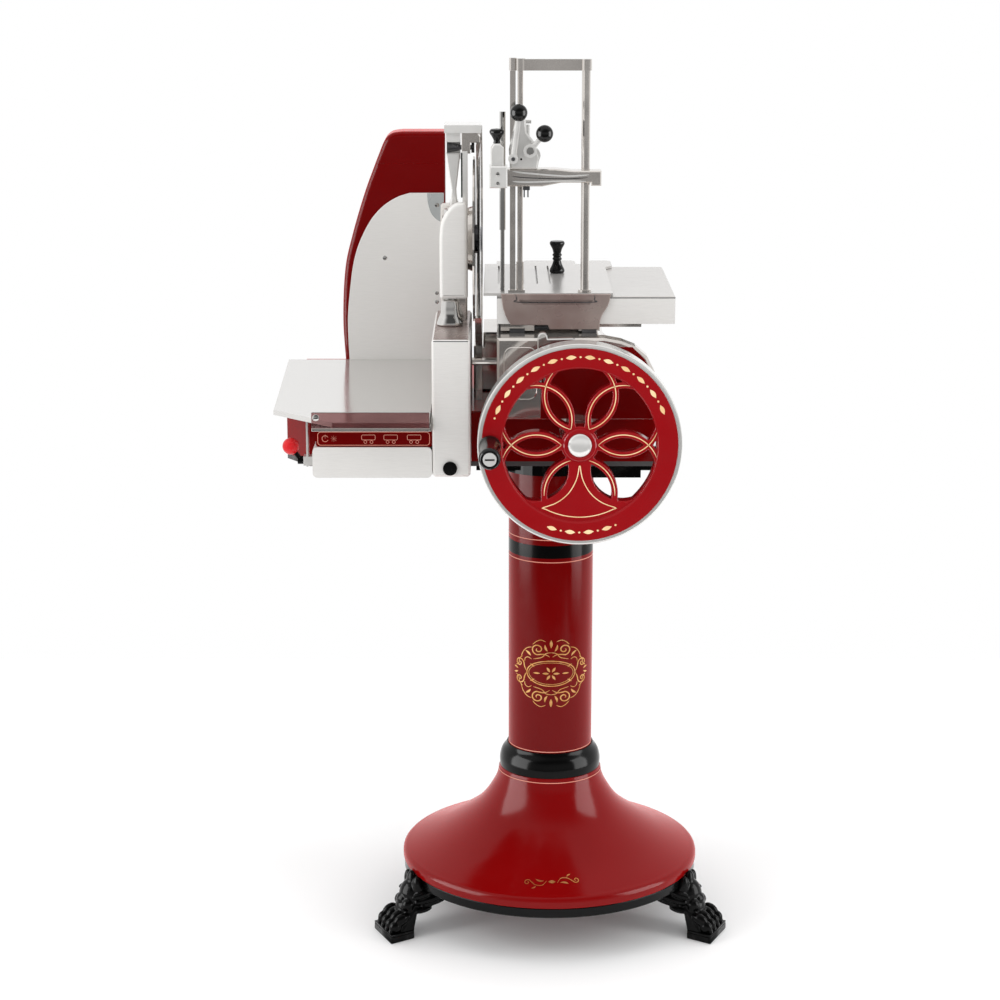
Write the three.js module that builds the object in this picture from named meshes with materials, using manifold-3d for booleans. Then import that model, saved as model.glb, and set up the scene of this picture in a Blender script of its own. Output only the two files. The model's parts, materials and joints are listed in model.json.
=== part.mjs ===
// Hand crank meat slicer on a cast pedestal. Millimetres, +Z up, front faces -Y.
// While modelling, the column axis is X = 0, Y = 0 and the floor is Z = 0.
import * as THREE from "three";
import { mergeVertices } from "three/addons/utils/BufferGeometryUtils.js";
import createManifold from "manifold-3d";

const wasm = await createManifold();
wasm.setup();

// General fits
const GAP = 0.3; // between pieces that are fixed to each other
const RUNNING_GAP = 0.6; // around shafts and sliding faces
const SHEET = 3;
const CAST_WALL = 7;

// Pedestal
const FOOT_ANGLES = { front_left: 205, front_right: -25, rear: 90 };
const PAD_WIDTH = 76;
const PAD_REACH = 64; // beyond the edge of the base ring
const RING_BOTTOM = 86;
const RING_TOP = 103;
const RING_RADIUS = 258;
const BELL_WALL = 9;
const BELL_NECK = 88;
const COLLAR_BOTTOM = 272;
const COLLAR_TOP = 314;
const COLUMN_RADIUS = 73;
const COLUMN_WALL = 6;
const PLATE_BOTTOM = 811;
const BASE_BOTTOM = 839;
const BASE_TOP = 932;

// Machine body
const BASE_FRONT = -130;
const BASE_REAR = 357;
const WHEEL_X = 39;
const WHEEL_Z = 911;
const SHAFT_RADIUS = 14;
const CROSS_SHAFT_RADIUS = 9;
const CHAIN_X = -165;
const PILLAR_LEFT = -198;
const PILLAR_RIGHT = -136;
const PILLAR_FRONT = -230;
const PILLAR_REAR = 67;
const PILLAR_BOTTOM = 843;
const PILLAR_TOP = 1069;
const STRIP_BOTTOM = 893;
const STRIP_TOP = 920;
const BACK_PLATE_FRONT = 280;
const SHELL_REAR = 353;
const LID_SEAM = 1298;

// Flywheel and crank
const WHEEL_FACE = -300;
const WHEEL_BACK = -258;
const WHEEL_RADIUS = 163.4;
const WINDOW_RADIUS = 123;
const WEB_FACE = -297;
const WEB_BACK = -272;
const HUB_RADIUS = 27;
const PETAL_CENTRE = 80;
const PETAL_RADIUS = 56.5;
const HALF_BAND = 5;
const CRANK_RADIUS = WHEEL_RADIUS - 20.4;
const CRANK_X = WHEEL_X - CRANK_RADIUS;
const PIN_RADIUS = 5;
const GRIP_END = -404;

// Gear housing, rails and drive
const HOUSING_TOP = 1066;
const HOUSING_FRONT = -200;
const HOUSING_REAR = 250;
const COVER_DEPTH = 38; // of the rounded gear cover behind the wheel
const RAIL_CENTRES = [-60, 58];
const RAIL_TOP = 1072.4;
const BEVEL_RADIUS = 45;
const LARGE_BEVEL_TEETH = 24;
const SMALL_BEVEL_TEETH = 12;
const LOWER_SPROCKET_TEETH = 30;
const UPPER_SPROCKET_TEETH = 20;
const LOWER_SPROCKET_RADIUS = 34;
const UPPER_SPROCKET_RADIUS = 22.7;
const CHAIN_SLACK = 0.5;

// Blade, guard and deflector
const BLADE_Z = 1201;
const BLADE_RADIUS = 159.5;
const BLADE_TOP = BLADE_Z + BLADE_RADIUS;
const COVER_RADIUS = BLADE_RADIUS - 21.5;
const BLADE_SHAFT_RADIUS = 12;
const SUPPORT_LEFT = -187;
const COVER_LEFT = -142.5;
const GUARD_Z = 1206;
const GUARD_INNER = BLADE_RADIUS + 7.5;
const GUARD_OUTER = GUARD_INNER + 19;
const GUARD_LEFT = -129;
const GUARD_RIGHT = -118;
const POST_X = -171;
const POST_Y = -86;

// Carriage, meat table and clamp
const TABLE_FRONT = -150;
const TABLE_REAR = 188;
const TABLE_TOP = 1132;
const COVER_TOP = 1127;
const COVER_LEFT_EDGE = -93;
const CLAMP_Y = -138;
const FLAT_POST_X = -67.5;
const ROUND_POST_X = -55.5;
const RIGHT_POST_X = 50;
const RIGHT_POST_RADIUS = 7;
const FEED_ROD_X = -84;
const CROSSBAR_BOTTOM = 1489;
const CLAMP_FOOT = CROSSBAR_BOTTOM - 183;
const TALL_LEVER = [-67, CLAMP_FOOT + 46];
const SHORT_LEVER = [-40, CLAMP_FOOT + 59];

// Receiving tray
const TRAY_FRONT = -284;
const TRAY_LIP = 8;
const TRAY_TOP = 945;
const GUARD_HINGE_Z = 920;
const GUARD_HINGE_Y = -249;
const GUARD_LUGS = [-380, -234];
const BALL_LEVER_Y = -190;

const rad = THREE.MathUtils.degToRad;
const point = (x, y) => new THREE.Vector2(x, y);

function solid(geometry) {
  const plain = geometry.clone();
  plain.deleteAttribute("normal");
  plain.deleteAttribute("uv");
  const merged = mergeVertices(plain, 1e-4);
  const vertProperties = merged.attributes.position.array;
  const triVerts = new Uint32Array(merged.index.array);
  return new wasm.Manifold(new wasm.Mesh({ numProp: 3, vertProperties, triVerts }));
}

function geometryOf(manifold) {
  const mesh = manifold.getMesh();
  const geometry = new THREE.BufferGeometry();
  geometry.setAttribute("position", new THREE.BufferAttribute(new Float32Array(mesh.vertProperties), 3));
  geometry.setIndex(new THREE.BufferAttribute(new Uint32Array(mesh.triVerts), 1));
  return geometry;
}

const join = (...pieces) => geometryOf(pieces.map(solid).reduce((all, next) => all.add(next)));
const cut = (body, ...tools) =>
  geometryOf(tools.map(solid).reduce((rest, tool) => rest.subtract(tool), solid(body)));
const common = (...pieces) => geometryOf(pieces.map(solid).reduce((all, next) => all.intersect(next)));

function box(x0, x1, y0, y1, z0, z1) {
  const geometry = new THREE.BoxGeometry(x1 - x0, y1 - y0, z1 - z0);
  return geometry.translate((x0 + x1) / 2, (y0 + y1) / 2, (z0 + z1) / 2);
}

function extrude(shape, depth, bevel, curveSegments) {
  const geometry = new THREE.ExtrudeGeometry(shape, {
    depth: depth - 2 * bevel,
    bevelEnabled: bevel > 0,
    bevelThickness: bevel,
    bevelSize: bevel,
    bevelOffset: -bevel,
    bevelSegments: 1,
    curveSegments,
  });
  return geometry.translate(0, 0, bevel);
}

// An outline in X and Z, standing between two Y planes
function frontPlate(shape, y0, y1, bevel = 0, curveSegments = 8) {
  return extrude(shape, y1 - y0, bevel, curveSegments).rotateX(Math.PI / 2).translate(0, y1, 0);
}

// An outline in X and Y, lying between two Z planes
function topPlate(shape, z0, z1, bevel = 0, curveSegments = 8) {
  return extrude(shape, z1 - z0, bevel, curveSegments).translate(0, 0, z0);
}

// An outline in Y and Z, standing between two X planes
function sidePlate(shape, x0, x1, bevel = 0, curveSegments = 8) {
  const turn = new THREE.Matrix4().makeBasis(
    new THREE.Vector3(0, 1, 0),
    new THREE.Vector3(0, 0, 1),
    new THREE.Vector3(1, 0, 0),
  );
  return extrude(shape, x1 - x0, bevel, curveSegments).applyMatrix4(turn).translate(x0, 0, 0);
}

const polygon = (...corners) => new THREE.Shape(corners.map(([x, y]) => point(x, y)));

function roundedRect(x0, x1, y0, y1, radius) {
  const shape = new THREE.Shape();
  shape.moveTo(x0 + radius, y0);
  shape.lineTo(x1 - radius, y0);
  shape.absarc(x1 - radius, y0 + radius, radius, -Math.PI / 2, 0);
  shape.lineTo(x1, y1 - radius);
  shape.absarc(x1 - radius, y1 - radius, radius, 0, Math.PI / 2);
  shape.lineTo(x0 + radius, y1);
  shape.absarc(x0 + radius, y1 - radius, radius, Math.PI / 2, Math.PI);
  shape.lineTo(x0, y0 + radius);
  shape.absarc(x0 + radius, y0 + radius, radius, Math.PI, 1.5 * Math.PI);
  return shape;
}

// A closed profile of radius and height, turned about the Z axis
function revolve(profile, segments = 32) {
  return new THREE.LatheGeometry(profile.map(([r, z]) => point(r, z)), segments).rotateX(Math.PI / 2);
}

const revolveY = (profile, x, z, segments) =>
  revolve(profile, segments).rotateX(-Math.PI / 2).translate(x, 0, z);
const revolveX = (profile, y, z, segments) =>
  revolve(profile, segments).rotateY(Math.PI / 2).translate(0, y, z);
const cylinder = (radius, from, to) => [[0, from], [radius, from], [radius, to], [0, to]];
const tube = (inner, outer, from, to) => [
  [inner, from],
  [outer, from],
  [outer, to],
  [inner, to],
  [inner, from],
];
const rodZ = (radius, z0, z1, x, y, segments = 16) =>
  revolve(cylinder(radius, z0, z1), segments).translate(x, y, 0);
const rodY = (radius, y0, y1, x, z, segments = 16) => revolveY(cylinder(radius, y0, y1), x, z, segments);
const rodX = (radius, x0, x1, y, z, segments = 16) => revolveX(cylinder(radius, x0, x1), y, z, segments);

function ellipsoid(rx, ry, rz, x, y, z, around = 10, down = 6) {
  return new THREE.SphereGeometry(1, around, down).rotateX(Math.PI / 2).scale(rx, ry, rz).translate(x, y, z);
}

// A round bar between two points, each an [x, y, z]
function bar(from, to, radius, segments = 10) {
  const start = new THREE.Vector3(...from);
  const along = new THREE.Vector3(...to).sub(start);
  const geometry = new THREE.CylinderGeometry(radius, radius, along.length(), segments);
  geometry.translate(0, along.length() / 2, 0);
  const turn = new THREE.Quaternion().setFromUnitVectors(new THREE.Vector3(0, 1, 0), along.normalize());
  return geometry.applyQuaternion(turn).translate(start.x, start.y, start.z);
}

const slicer = new THREE.Group();
slicer.name = "hand_crank_slicer";

function add(name, geometry, color, roughness, metalness) {
  geometry.deleteAttribute("uv");
  const mesh = new THREE.Mesh(geometry, new THREE.MeshStandardMaterial({ color, roughness, metalness }));
  mesh.name = name;
  slicer.add(mesh);
}

const BLACK_IRON = [0x101010, 0.35, 0.2];
const RED_PAINT = [0x7d0710, 0.18, 0.1];
const POLISHED = [0xd2d2d0, 0.18, 1];
const SATIN = [0xc4c4c2, 0.34, 1];
const CHROME = [0xdadada, 0.08, 1];
const DARK_STEEL = [0x55565a, 0.35, 1];
const BLACK_PLASTIC = [0x0c0c0d, 0.25, 0];

// Pedestal

// One paw, built with its leg pointing along +X; r counts from the edge of the base ring
function pawFoot(angle) {
  const legSide = new THREE.Shape();
  legSide.moveTo(-68, RING_BOTTOM - GAP);
  legSide.lineTo(-68, 76);
  legSide.quadraticCurveTo(-58, 58, -32, 50);
  legSide.quadraticCurveTo(2, 38, 16, 12);
  legSide.lineTo(44, 8);
  legSide.lineTo(58, 26);
  legSide.quadraticCurveTo(52, 50, 38, 60);
  legSide.quadraticCurveTo(32, 66, 31, 76);
  legSide.quadraticCurveTo(28, 96, 8, 108);
  legSide.lineTo(-20, 108);
  legSide.lineTo(-20, RING_BOTTOM - GAP);
  const side = PAD_WIDTH / 2;
  const pad = polygon([18, 7 - side], [PAD_REACH, -side], [PAD_REACH, side], [18, side - 7]);
  const dishEnd = PAD_REACH - 4;
  const dish = polygon([24, 12 - side], [dishEnd, 5 - side], [dishEnd, side - 5], [24, side - 12]);
  const pieces = [cut(topPlate(pad, 0, 16, 1.5), topPlate(dish, 12, 20))];
  for (const place of [-1, 0, 1]) {
    const middle = place === 0;
    pieces.push(ellipsoid(16, 11.5, 13, middle ? 40 : 34, place * 23, middle ? 44 : 39, 7, 5));
    pieces.push(ellipsoid(12, 10.5, 12, middle ? 51 : 46, place * 22, 22, 7, 5));
    pieces.push(ellipsoid(9, 13, 26, 6, place * 25, middle ? 92 : 84, 7, 5));
  }
  for (const place of [-1, 1]) {
    pieces.push(ellipsoid(26, 12, 10, -6, place * 26, 62, 8, 4));
    pieces.push(ellipsoid(11, 9, 11, 22, place * 26, 58, 7, 5));
  }
  pieces.push(ellipsoid(40, 36, 26, -22, 0, 70, 10, 6));
  const foot = join(frontPlate(legSide, -22, 22, 7, 3), ...pieces).translate(RING_RADIUS, 0, 0);
  const clearOfBell = (RING_RADIUS + 2 + GAP) / Math.cos(Math.PI / 36);
  const ringSpace = revolve(cylinder(clearOfBell, RING_BOTTOM - GAP, 200), 36);
  return cut(foot, ringSpace, box(-400, 400, -400, 400, -50, 0)).rotateZ(rad(angle));
}

for (const [place, angle] of Object.entries(FOOT_ANGLES)) {
  add(`paw_foot_${place}`, pawFoot(angle), ...BLACK_IRON);
}

add("base_ring", revolve(tube(RING_RADIUS - 78, RING_RADIUS, RING_BOTTOM, RING_TOP), 36), ...BLACK_IRON);

const bellFoot = RING_TOP + GAP;
const bellCurve = new THREE.SplineCurve([
  point(RING_RADIUS - 8, 124),
  point(RING_RADIUS - 68, 154),
  point(RING_RADIUS - 128, 196),
  point(98, 240),
  point(BELL_NECK, COLLAR_BOTTOM - GAP),
]);
const bellInner = new THREE.SplineCurve([
  point(BELL_NECK - BELL_WALL, COLLAR_BOTTOM - GAP),
  point(98 - BELL_WALL, 236),
  point(RING_RADIUS - 134, 188),
  point(RING_RADIUS - 72, 144),
  point(RING_RADIUS - 14, 114),
]);
const bellProfile = [
  [RING_RADIUS - 9, bellFoot],
  [RING_RADIUS, bellFoot],
  [RING_RADIUS + 2, 106],
  [RING_RADIUS + 2, 116],
  [RING_RADIUS - 2, 121.5],
  ...bellCurve.getPoints(7).map((p) => [p.x, p.y]),
  ...bellInner.getPoints(3).map((p) => [p.x, p.y]),
  [RING_RADIUS - 9, bellFoot],
];
add("pedestal_bell", revolve(bellProfile, 32), ...RED_PAINT);

const columnFoot = COLLAR_BOTTOM + 8;
const collarBore = (COLUMN_RADIUS + GAP) / Math.cos(Math.PI / 28);
const collarProfile = [
  [64, COLLAR_BOTTOM],
  [BELL_NECK, COLLAR_BOTTOM],
  [BELL_NECK, 288],
  [84, 300],
  [77, 310],
  [75.5, COLLAR_TOP],
  [collarBore, COLLAR_TOP],
  [collarBore, columnFoot - GAP],
  [64, columnFoot - GAP],
  [64, COLLAR_BOTTOM],
];
add("bell_collar", revolve(collarProfile, 28), ...BLACK_IRON);
const columnTop = PLATE_BOTTOM - GAP;
const column = tube(COLUMN_RADIUS - COLUMN_WALL, COLUMN_RADIUS, columnFoot, columnTop);
add("pedestal_column", revolve(column, 30), ...RED_PAINT);

// Support plate and machine base

const plateTop = BASE_BOTTOM + 8 - GAP;
const plateShell = cut(
  box(-128, 170, -70, 90, PLATE_BOTTOM + 7, plateTop),
  box(-120, 162, -62, 82, 800, plateTop - 8),
);
const plateRibs = [
  box(54, 150, -69, -60, PLATE_BOTTOM - 6, plateTop - 4),
  box(-90, -78, -66, 86, PLATE_BOTTOM, plateTop - 1),
];
const plateHub = rodZ(88, PLATE_BOTTOM, plateTop - 1, 0, 0, 32);
add("support_plate", join(plateShell, plateHub, ...plateRibs), ...BLACK_IRON);

const baseOutline = (inset) =>
  polygon(
    [-404 + inset * 0.7, BASE_FRONT + inset],
    [168 - inset, BASE_FRONT + inset],
    [168 - inset, BASE_REAR - inset],
    [-446 + inset, BASE_REAR - inset],
    [-446 + inset, -69 + inset * 0.7],
  );
const baseRib = (x) => box(x, x + CAST_WALL, BASE_FRONT + 2, BASE_REAR - 2, plateTop + GAP, BASE_TOP - 2);
const pillarNotch = box(PILLAR_LEFT - GAP, PILLAR_RIGHT + GAP, PILLAR_FRONT, PILLAR_REAR + GAP, 800, 1000);
const baseShell = join(
  cut(
    topPlate(baseOutline(0), BASE_BOTTOM, BASE_TOP, 1.5),
    topPlate(baseOutline(CAST_WALL), 800, BASE_TOP - CAST_WALL),
  ),
  baseRib(-120),
  baseRib(150),
  box(-300, -293, BASE_FRONT + 2, BASE_REAR - 2, BASE_BOTTOM + 10, BASE_TOP - 2),
);
add(
  "machine_base",
  cut(
    baseShell,
    pillarNotch,
    box(-129, 200, -71, 91, 800, plateTop + GAP),
    box(-80, 142, -112, 135, 900, 1000),
    rodY(SHAFT_RADIUS + 4, -200, 0, WHEEL_X, WHEEL_Z),
    rodX(CROSS_SHAFT_RADIUS + 3, -130, -100, 0, WHEEL_Z),
  ),
  ...RED_PAINT,
);

const pillarShape = roundedRect(PILLAR_LEFT, PILLAR_RIGHT, PILLAR_FRONT, PILLAR_REAR, 5);
const pillarHollow = roundedRect(PILLAR_LEFT + 4, PILLAR_RIGHT - 4, PILLAR_FRONT + 4, PILLAR_REAR - 4, 2);
add(
  "front_pillar",
  cut(
    topPlate(pillarShape, PILLAR_BOTTOM, PILLAR_TOP, 4, 2),
    topPlate(pillarHollow, 800, PILLAR_TOP - 6, 0, 2),
    box(CHAIN_X - 10, CHAIN_X + 10, -40, 40, 1000, 1100),
    rodX(CROSS_SHAFT_RADIUS + RUNNING_GAP, -150, -120, 0, WHEEL_Z),
  ),
  ...SATIN,
);
add("pillar_cap", rodY(11.5, PILLAR_FRONT - 4, PILLAR_FRONT - GAP, -169, 858, 20), ...BLACK_PLASTIC);

// A box of sheet, open to the rear
function openRearBox(x0, x1, y0, y1, z0, z1, corner) {
  const outline = roundedRect(x0, x1, z0, z1, corner);
  const inside = roundedRect(x0 + SHEET, x1 - SHEET, z0 + SHEET, z1 - SHEET, Math.max(corner - SHEET, 1));
  return cut(frontPlate(outline, y0, y1, 0, 2), frontPlate(inside, y0 + SHEET, y1 + 5, 0, 1));
}

const boxRear = BASE_FRONT - GAP;
const boxRight = PILLAR_LEFT - GAP;
const lowerBox = openRearBox(-392, boxRight, PILLAR_FRONT, boxRear, 842, STRIP_BOTTOM - GAP, 8);
const strip = openRearBox(-386, boxRight, PILLAR_FRONT + 3, boxRear, STRIP_BOTTOM, STRIP_TOP - GAP, 4);
add("lower_front_box", lowerBox, ...SATIN);
add("control_strip", strip, ...RED_PAINT);
const railFront = -240;
const hingeLugs = GUARD_LUGS.map((x) =>
  box(x + 6, x + 12, GUARD_HINGE_Y - 4, railFront + 2, GUARD_HINGE_Z - 4, GUARD_HINGE_Z + 4),
);
add(
  "tray_rail",
  join(
    box(-391, boxRight, railFront, boxRear, STRIP_TOP, 931),
    ...hingeLugs,
    rodX(2.2, GUARD_LUGS[0] - 8, GUARD_LUGS[1] + 12, GUARD_HINGE_Y, GUARD_HINGE_Z, 8),
  ),
  ...SATIN,
);

// Back plate and red shell behind the tray

const plateFoot = TRAY_TOP - 8;
const plateOutline = polygon(
  [-189, plateFoot],
  [-189, 1246.5],
  [-249, 1246.5],
  [-272, 1237.5],
  [-294, 1224.5],
  [-318, 1201],
  [-339, 1162.5],
  [-349.5, 1130],
  [-357.5, 1081.5],
  [-363.5, 1016.5],
  [-361, plateFoot],
);
add("back_plate", frontPlate(plateOutline, BACK_PLATE_FRONT, BACK_PLATE_FRONT + 4), ...SATIN);

const shellFoot = BASE_TOP + GAP;
const shellOutline = (inset) =>
  polygon(
    [-187 - inset, shellFoot - inset * 3],
    [-187 - inset, LID_SEAM],
    [-311 + inset, LID_SEAM],
    [-331 + inset, 1244.5],
    [-353.5 + inset, 1170.5],
    [-367.5 + inset, 1108],
    [-372.5 + inset, 1016.5],
    [-368 + inset, shellFoot - inset * 3],
  );
const shellFront = BACK_PLATE_FRONT + 4 + GAP;
add(
  "red_shell",
  cut(
    frontPlate(shellOutline(0), shellFront, SHELL_REAR, 2),
    frontPlate(shellOutline(5), shellFront + 5, SHELL_REAR - 5),
  ),
  ...RED_PAINT,
);
const lidTop = 1355;
const lidOutline = (inset) =>
  polygon(
    [-187 - inset, LID_SEAM + GAP],
    [-187 - inset, lidTop - inset],
    [-266, lidTop - inset],
    [-283.5 + inset / 2, lidTop - 4 - inset],
    [-292.5 + inset, lidTop - 14 - inset / 2],
    [-311 + inset, LID_SEAM + GAP],
  );
add(
  "shell_lid",
  cut(
    frontPlate(lidOutline(0), shellFront, SHELL_REAR, 2),
    frontPlate(lidOutline(4), shellFront + 4, SHELL_REAR - 4),
  ),
  ...RED_PAINT,
);

// Flywheel: six equal circles cross one another round the hub and leave petals between them

const wheelDisc = (radius, y0, y1, dx = 0, dz = 0, segments = 32) =>
  rodY(radius, y0, y1, WHEEL_X + dx, WHEEL_Z + dz, segments);

function petalCircle(index, radius, y0 = WHEEL_FACE - 5, y1 = WHEEL_BACK + 5) {
  const angle = rad(30 + 60 * index);
  return wheelDisc(radius, y0, y1, PETAL_CENTRE * Math.cos(angle), PETAL_CENTRE * Math.sin(angle), 24);
}

function petalGap(index, y0, y1) {
  const inner = petalCircle(index, PETAL_RADIUS - HALF_BAND, y0, y1);
  const left = petalCircle(index + 1, PETAL_RADIUS + HALF_BAND);
  const right = petalCircle(index - 1, PETAL_RADIUS + HALF_BAND);
  const window = common(inner, wheelDisc(WINDOW_RADIUS, y0, y1));
  return cut(window, left, right, wheelDisc(HUB_RADIUS + 3, y0 - 5, y1 + 5));
}

const petalHole = (index) =>
  common(petalCircle(index, PETAL_RADIUS - HALF_BAND), petalCircle(index + 1, PETAL_RADIUS - HALF_BAND));

const bellWeb = new THREE.Shape();
bellWeb.moveTo(-5, -20);
bellWeb.bezierCurveTo(-8, -62, -30, -92, -66, -103);
bellWeb.bezierCurveTo(-40, -130, 40, -130, 66, -103);
bellWeb.bezierCurveTo(30, -92, 8, -62, 5, -20);

const wheelRim = [
  [WINDOW_RADIUS, WHEEL_FACE + 5],
  [WINDOW_RADIUS + 6, WHEEL_FACE],
  [WHEEL_RADIUS - 8, WHEEL_FACE],
  [WHEEL_RADIUS - 7, WHEEL_FACE + 1],
  [WHEEL_RADIUS - 2, WHEEL_FACE + 1],
  [WHEEL_RADIUS, WHEEL_FACE + 3],
  [WHEEL_RADIUS, WHEEL_BACK],
  [WHEEL_RADIUS - 13, WHEEL_BACK],
  [WHEEL_RADIUS - 18, WEB_BACK],
  [WINDOW_RADIUS, WEB_BACK],
  [WINDOW_RADIUS, WHEEL_FACE + 5],
];
const petalIndexes = [0, 1, 2, 3, 4, 5];
const bellIndex = 4;
const bellPocket = cut(
  petalGap(bellIndex, WEB_FACE - 2, WEB_FACE + 7),
  frontPlate(bellWeb, WEB_FACE - 10, WEB_BACK, 0, 7).translate(WHEEL_X, 0, WHEEL_Z),
);
const openings = petalIndexes.filter((index) => index !== bellIndex);
const upperZone = box(-200, 300, WHEEL_FACE, WEB_BACK + 2, WHEEL_Z - 60, 1200);
const cornerHoles = cut(
  common(wheelDisc(WINDOW_RADIUS - 1, WHEEL_FACE, WEB_BACK + 2), upperZone),
  wheelDisc(105, WHEEL_FACE - 2, WHEEL_BACK),
  ...petalIndexes.map((index) => petalCircle(index, PETAL_RADIUS + HALF_BAND)),
);
add(
  "flywheel",
  cut(
    join(
      revolveY(wheelRim, WHEEL_X, WHEEL_Z, 40),
      wheelDisc(WINDOW_RADIUS + 2, WEB_FACE, WEB_BACK),
      wheelDisc(HUB_RADIUS, WHEEL_FACE, WHEEL_BACK + 4, 0, 0, 32),
    ),
    ...openings.map((index) => petalGap(index, WHEEL_FACE - 5, WHEEL_BACK + 5)),
    ...petalIndexes.map(petalHole),
    bellPocket,
    cornerHoles,
    wheelDisc(SHAFT_RADIUS + GAP, WHEEL_FACE + 4, 0, 0, 0, 20),
    rodY(PIN_RADIUS + GAP, WHEEL_FACE - 5, WHEEL_FACE + 16, CRANK_X, WHEEL_Z),
  ),
  ...RED_PAINT,
);

const capProfile = [
  [0, WHEEL_FACE - 6],
  [14, WHEEL_FACE - 5.5],
  [18, WHEEL_FACE - 3],
  [19, WHEEL_FACE - GAP],
  [0, WHEEL_FACE - GAP],
];
add("flywheel_hub_cap", revolveY(capProfile, WHEEL_X, WHEEL_Z, 20), ...CHROME);

const shaftEnd = -6;
add("wheel_shaft", rodY(SHAFT_RADIUS, WHEEL_FACE + 4 + GAP, shaftEnd, WHEEL_X, WHEEL_Z, 20), ...DARK_STEEL);

// Crank

add("crank_pin", rodY(PIN_RADIUS, GRIP_END + 6, WHEEL_FACE + 15, CRANK_X, WHEEL_Z, 14), ...CHROME);
const gripProfile = [
  [PIN_RADIUS + RUNNING_GAP, GRIP_END + 3],
  [11.8, GRIP_END + 3],
  [11.8, GRIP_END],
  [15, GRIP_END],
  [17, GRIP_END + 5],
  [17, GRIP_END + 12],
  [13, GRIP_END + 28],
  [13, WHEEL_FACE - 34],
  [18, WHEEL_FACE - 12],
  [18, WHEEL_FACE - 4],
  [15, WHEEL_FACE - RUNNING_GAP],
  [PIN_RADIUS + RUNNING_GAP, WHEEL_FACE - RUNNING_GAP],
  [PIN_RADIUS + RUNNING_GAP, GRIP_END + 3],
];
add("crank_grip", revolveY(gripProfile, CRANK_X, WHEEL_Z, 16), ...BLACK_PLASTIC);
const screwHead = cut(
  rodY(11.2, GRIP_END - 2, GRIP_END + 2.4, CRANK_X, WHEEL_Z, 20),
  rodY(PIN_RADIUS + GAP, GRIP_END, GRIP_END + 4, CRANK_X, WHEEL_Z, 14),
);
add("grip_end_screw", screwHead, ...CHROME);

// Gear housing, rails and the drive inside

const housingFoot = BASE_TOP + GAP;
const housingOutline = (inset, floor) =>
  polygon(
    [-93 + inset, floor],
    [-93 + inset, HOUSING_TOP - inset],
    [72 - inset / 2, HOUSING_TOP - inset],
    [84 - inset, 1050],
    [92 - inset, 1004 - inset],
    [150 - inset, 956 - inset],
    [157 - inset, 948 - inset],
    [157 - inset, floor],
  );
const coverOutline = (inset, floor) =>
  polygon(
    [-93 + inset, floor],
    [-93 + inset, HOUSING_TOP - inset],
    [81, HOUSING_TOP - inset],
    [108, HOUSING_TOP - 5 - inset],
    [131 - inset / 2, HOUSING_TOP - 14 - inset],
    [150 - inset, HOUSING_TOP - 30 - inset / 2],
    [163 - inset, 1010],
    [168 - inset, 978],
    [168 - inset, floor],
  );
const driveArmOutline = polygon(
  [-133, housingFoot],
  [-90, housingFoot],
  [-90, 1034],
  [-116, 1034],
  [-117, 1010],
  [-133, 1010],
);
const coverRear = HOUSING_FRONT + COVER_DEPTH;
const hollowFoot = BASE_TOP + CAST_WALL;
const housingShell = cut(
  join(
    frontPlate(housingOutline(0, housingFoot), HOUSING_FRONT + 10, HOUSING_REAR, 3),
    frontPlate(coverOutline(0, housingFoot), HOUSING_FRONT, coverRear, 4),
    frontPlate(driveArmOutline, 46, 190, 3),
  ),
  frontPlate(housingOutline(CAST_WALL, BASE_TOP - 10), BASE_FRONT + 2, HOUSING_REAR - CAST_WALL),
  frontPlate(housingOutline(CAST_WALL, hollowFoot), HOUSING_FRONT + CAST_WALL, BASE_FRONT + 8),
  frontPlate(coverOutline(CAST_WALL, hollowFoot), HOUSING_FRONT + CAST_WALL, coverRear - CAST_WALL),
  box(-126, -97, 53, 183, 900, 1003),
);
const bossRear = BASE_FRONT - GAP;
const wheelBoss = join(
  rodY(30, -246, bossRear, WHEEL_X, WHEEL_Z, 28),
  box(WHEEL_X - 30, WHEEL_X + 30, HOUSING_FRONT, bossRear, WHEEL_Z, BASE_TOP + 12),
);
const sidePanel = roundedRect(-82, -28, 966, 1052, 14);
const linkBar = rodX(6.5, -134.5, -86, -60, 1003, 12);
add(
  "gear_housing",
  cut(
    join(
      housingShell,
      wheelBoss,
      linkBar,
      frontPlate(sidePanel, HOUSING_FRONT - 2, HOUSING_FRONT + 2, 1, 3),
    ),
    rodY(SHAFT_RADIUS + RUNNING_GAP, -260, -100, WHEEL_X, WHEEL_Z, 20),
  ),
  ...POLISHED,
);

const bracketShape = new THREE.Shape();
bracketShape.moveTo(-28, 1022);
bracketShape.lineTo(-28, 1066);
bracketShape.quadraticCurveTo(-28, 1078, -19, 1078);
bracketShape.quadraticCurveTo(-12, 1078, -11, 1068);
bracketShape.lineTo(30, 1069);
bracketShape.quadraticCurveTo(37, 1064, 30, 1058);
bracketShape.lineTo(-8, 1056);
bracketShape.lineTo(-16, 1040);
bracketShape.lineTo(-18, 1022);
add("ratchet_bracket", frontPlate(bracketShape, HOUSING_FRONT - 16, HOUSING_FRONT - GAP, 2, 3), ...CHROME);

const railBottom = HOUSING_TOP + GAP;
const railTieTop = railBottom + 2.2;
add(
  "carriage_rails",
  join(
    ...RAIL_CENTRES.map((x) => box(x - 12, x + 12, TABLE_FRONT + 3, HOUSING_REAR - 4, railBottom, RAIL_TOP)),
    box(RAIL_CENTRES[0], RAIL_CENTRES[1], -100, -80, railBottom, railTieTop),
    box(RAIL_CENTRES[0], RAIL_CENTRES[1], 170, 190, railBottom, railTieTop),
  ),
  ...DARK_STEEL,
);

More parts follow.
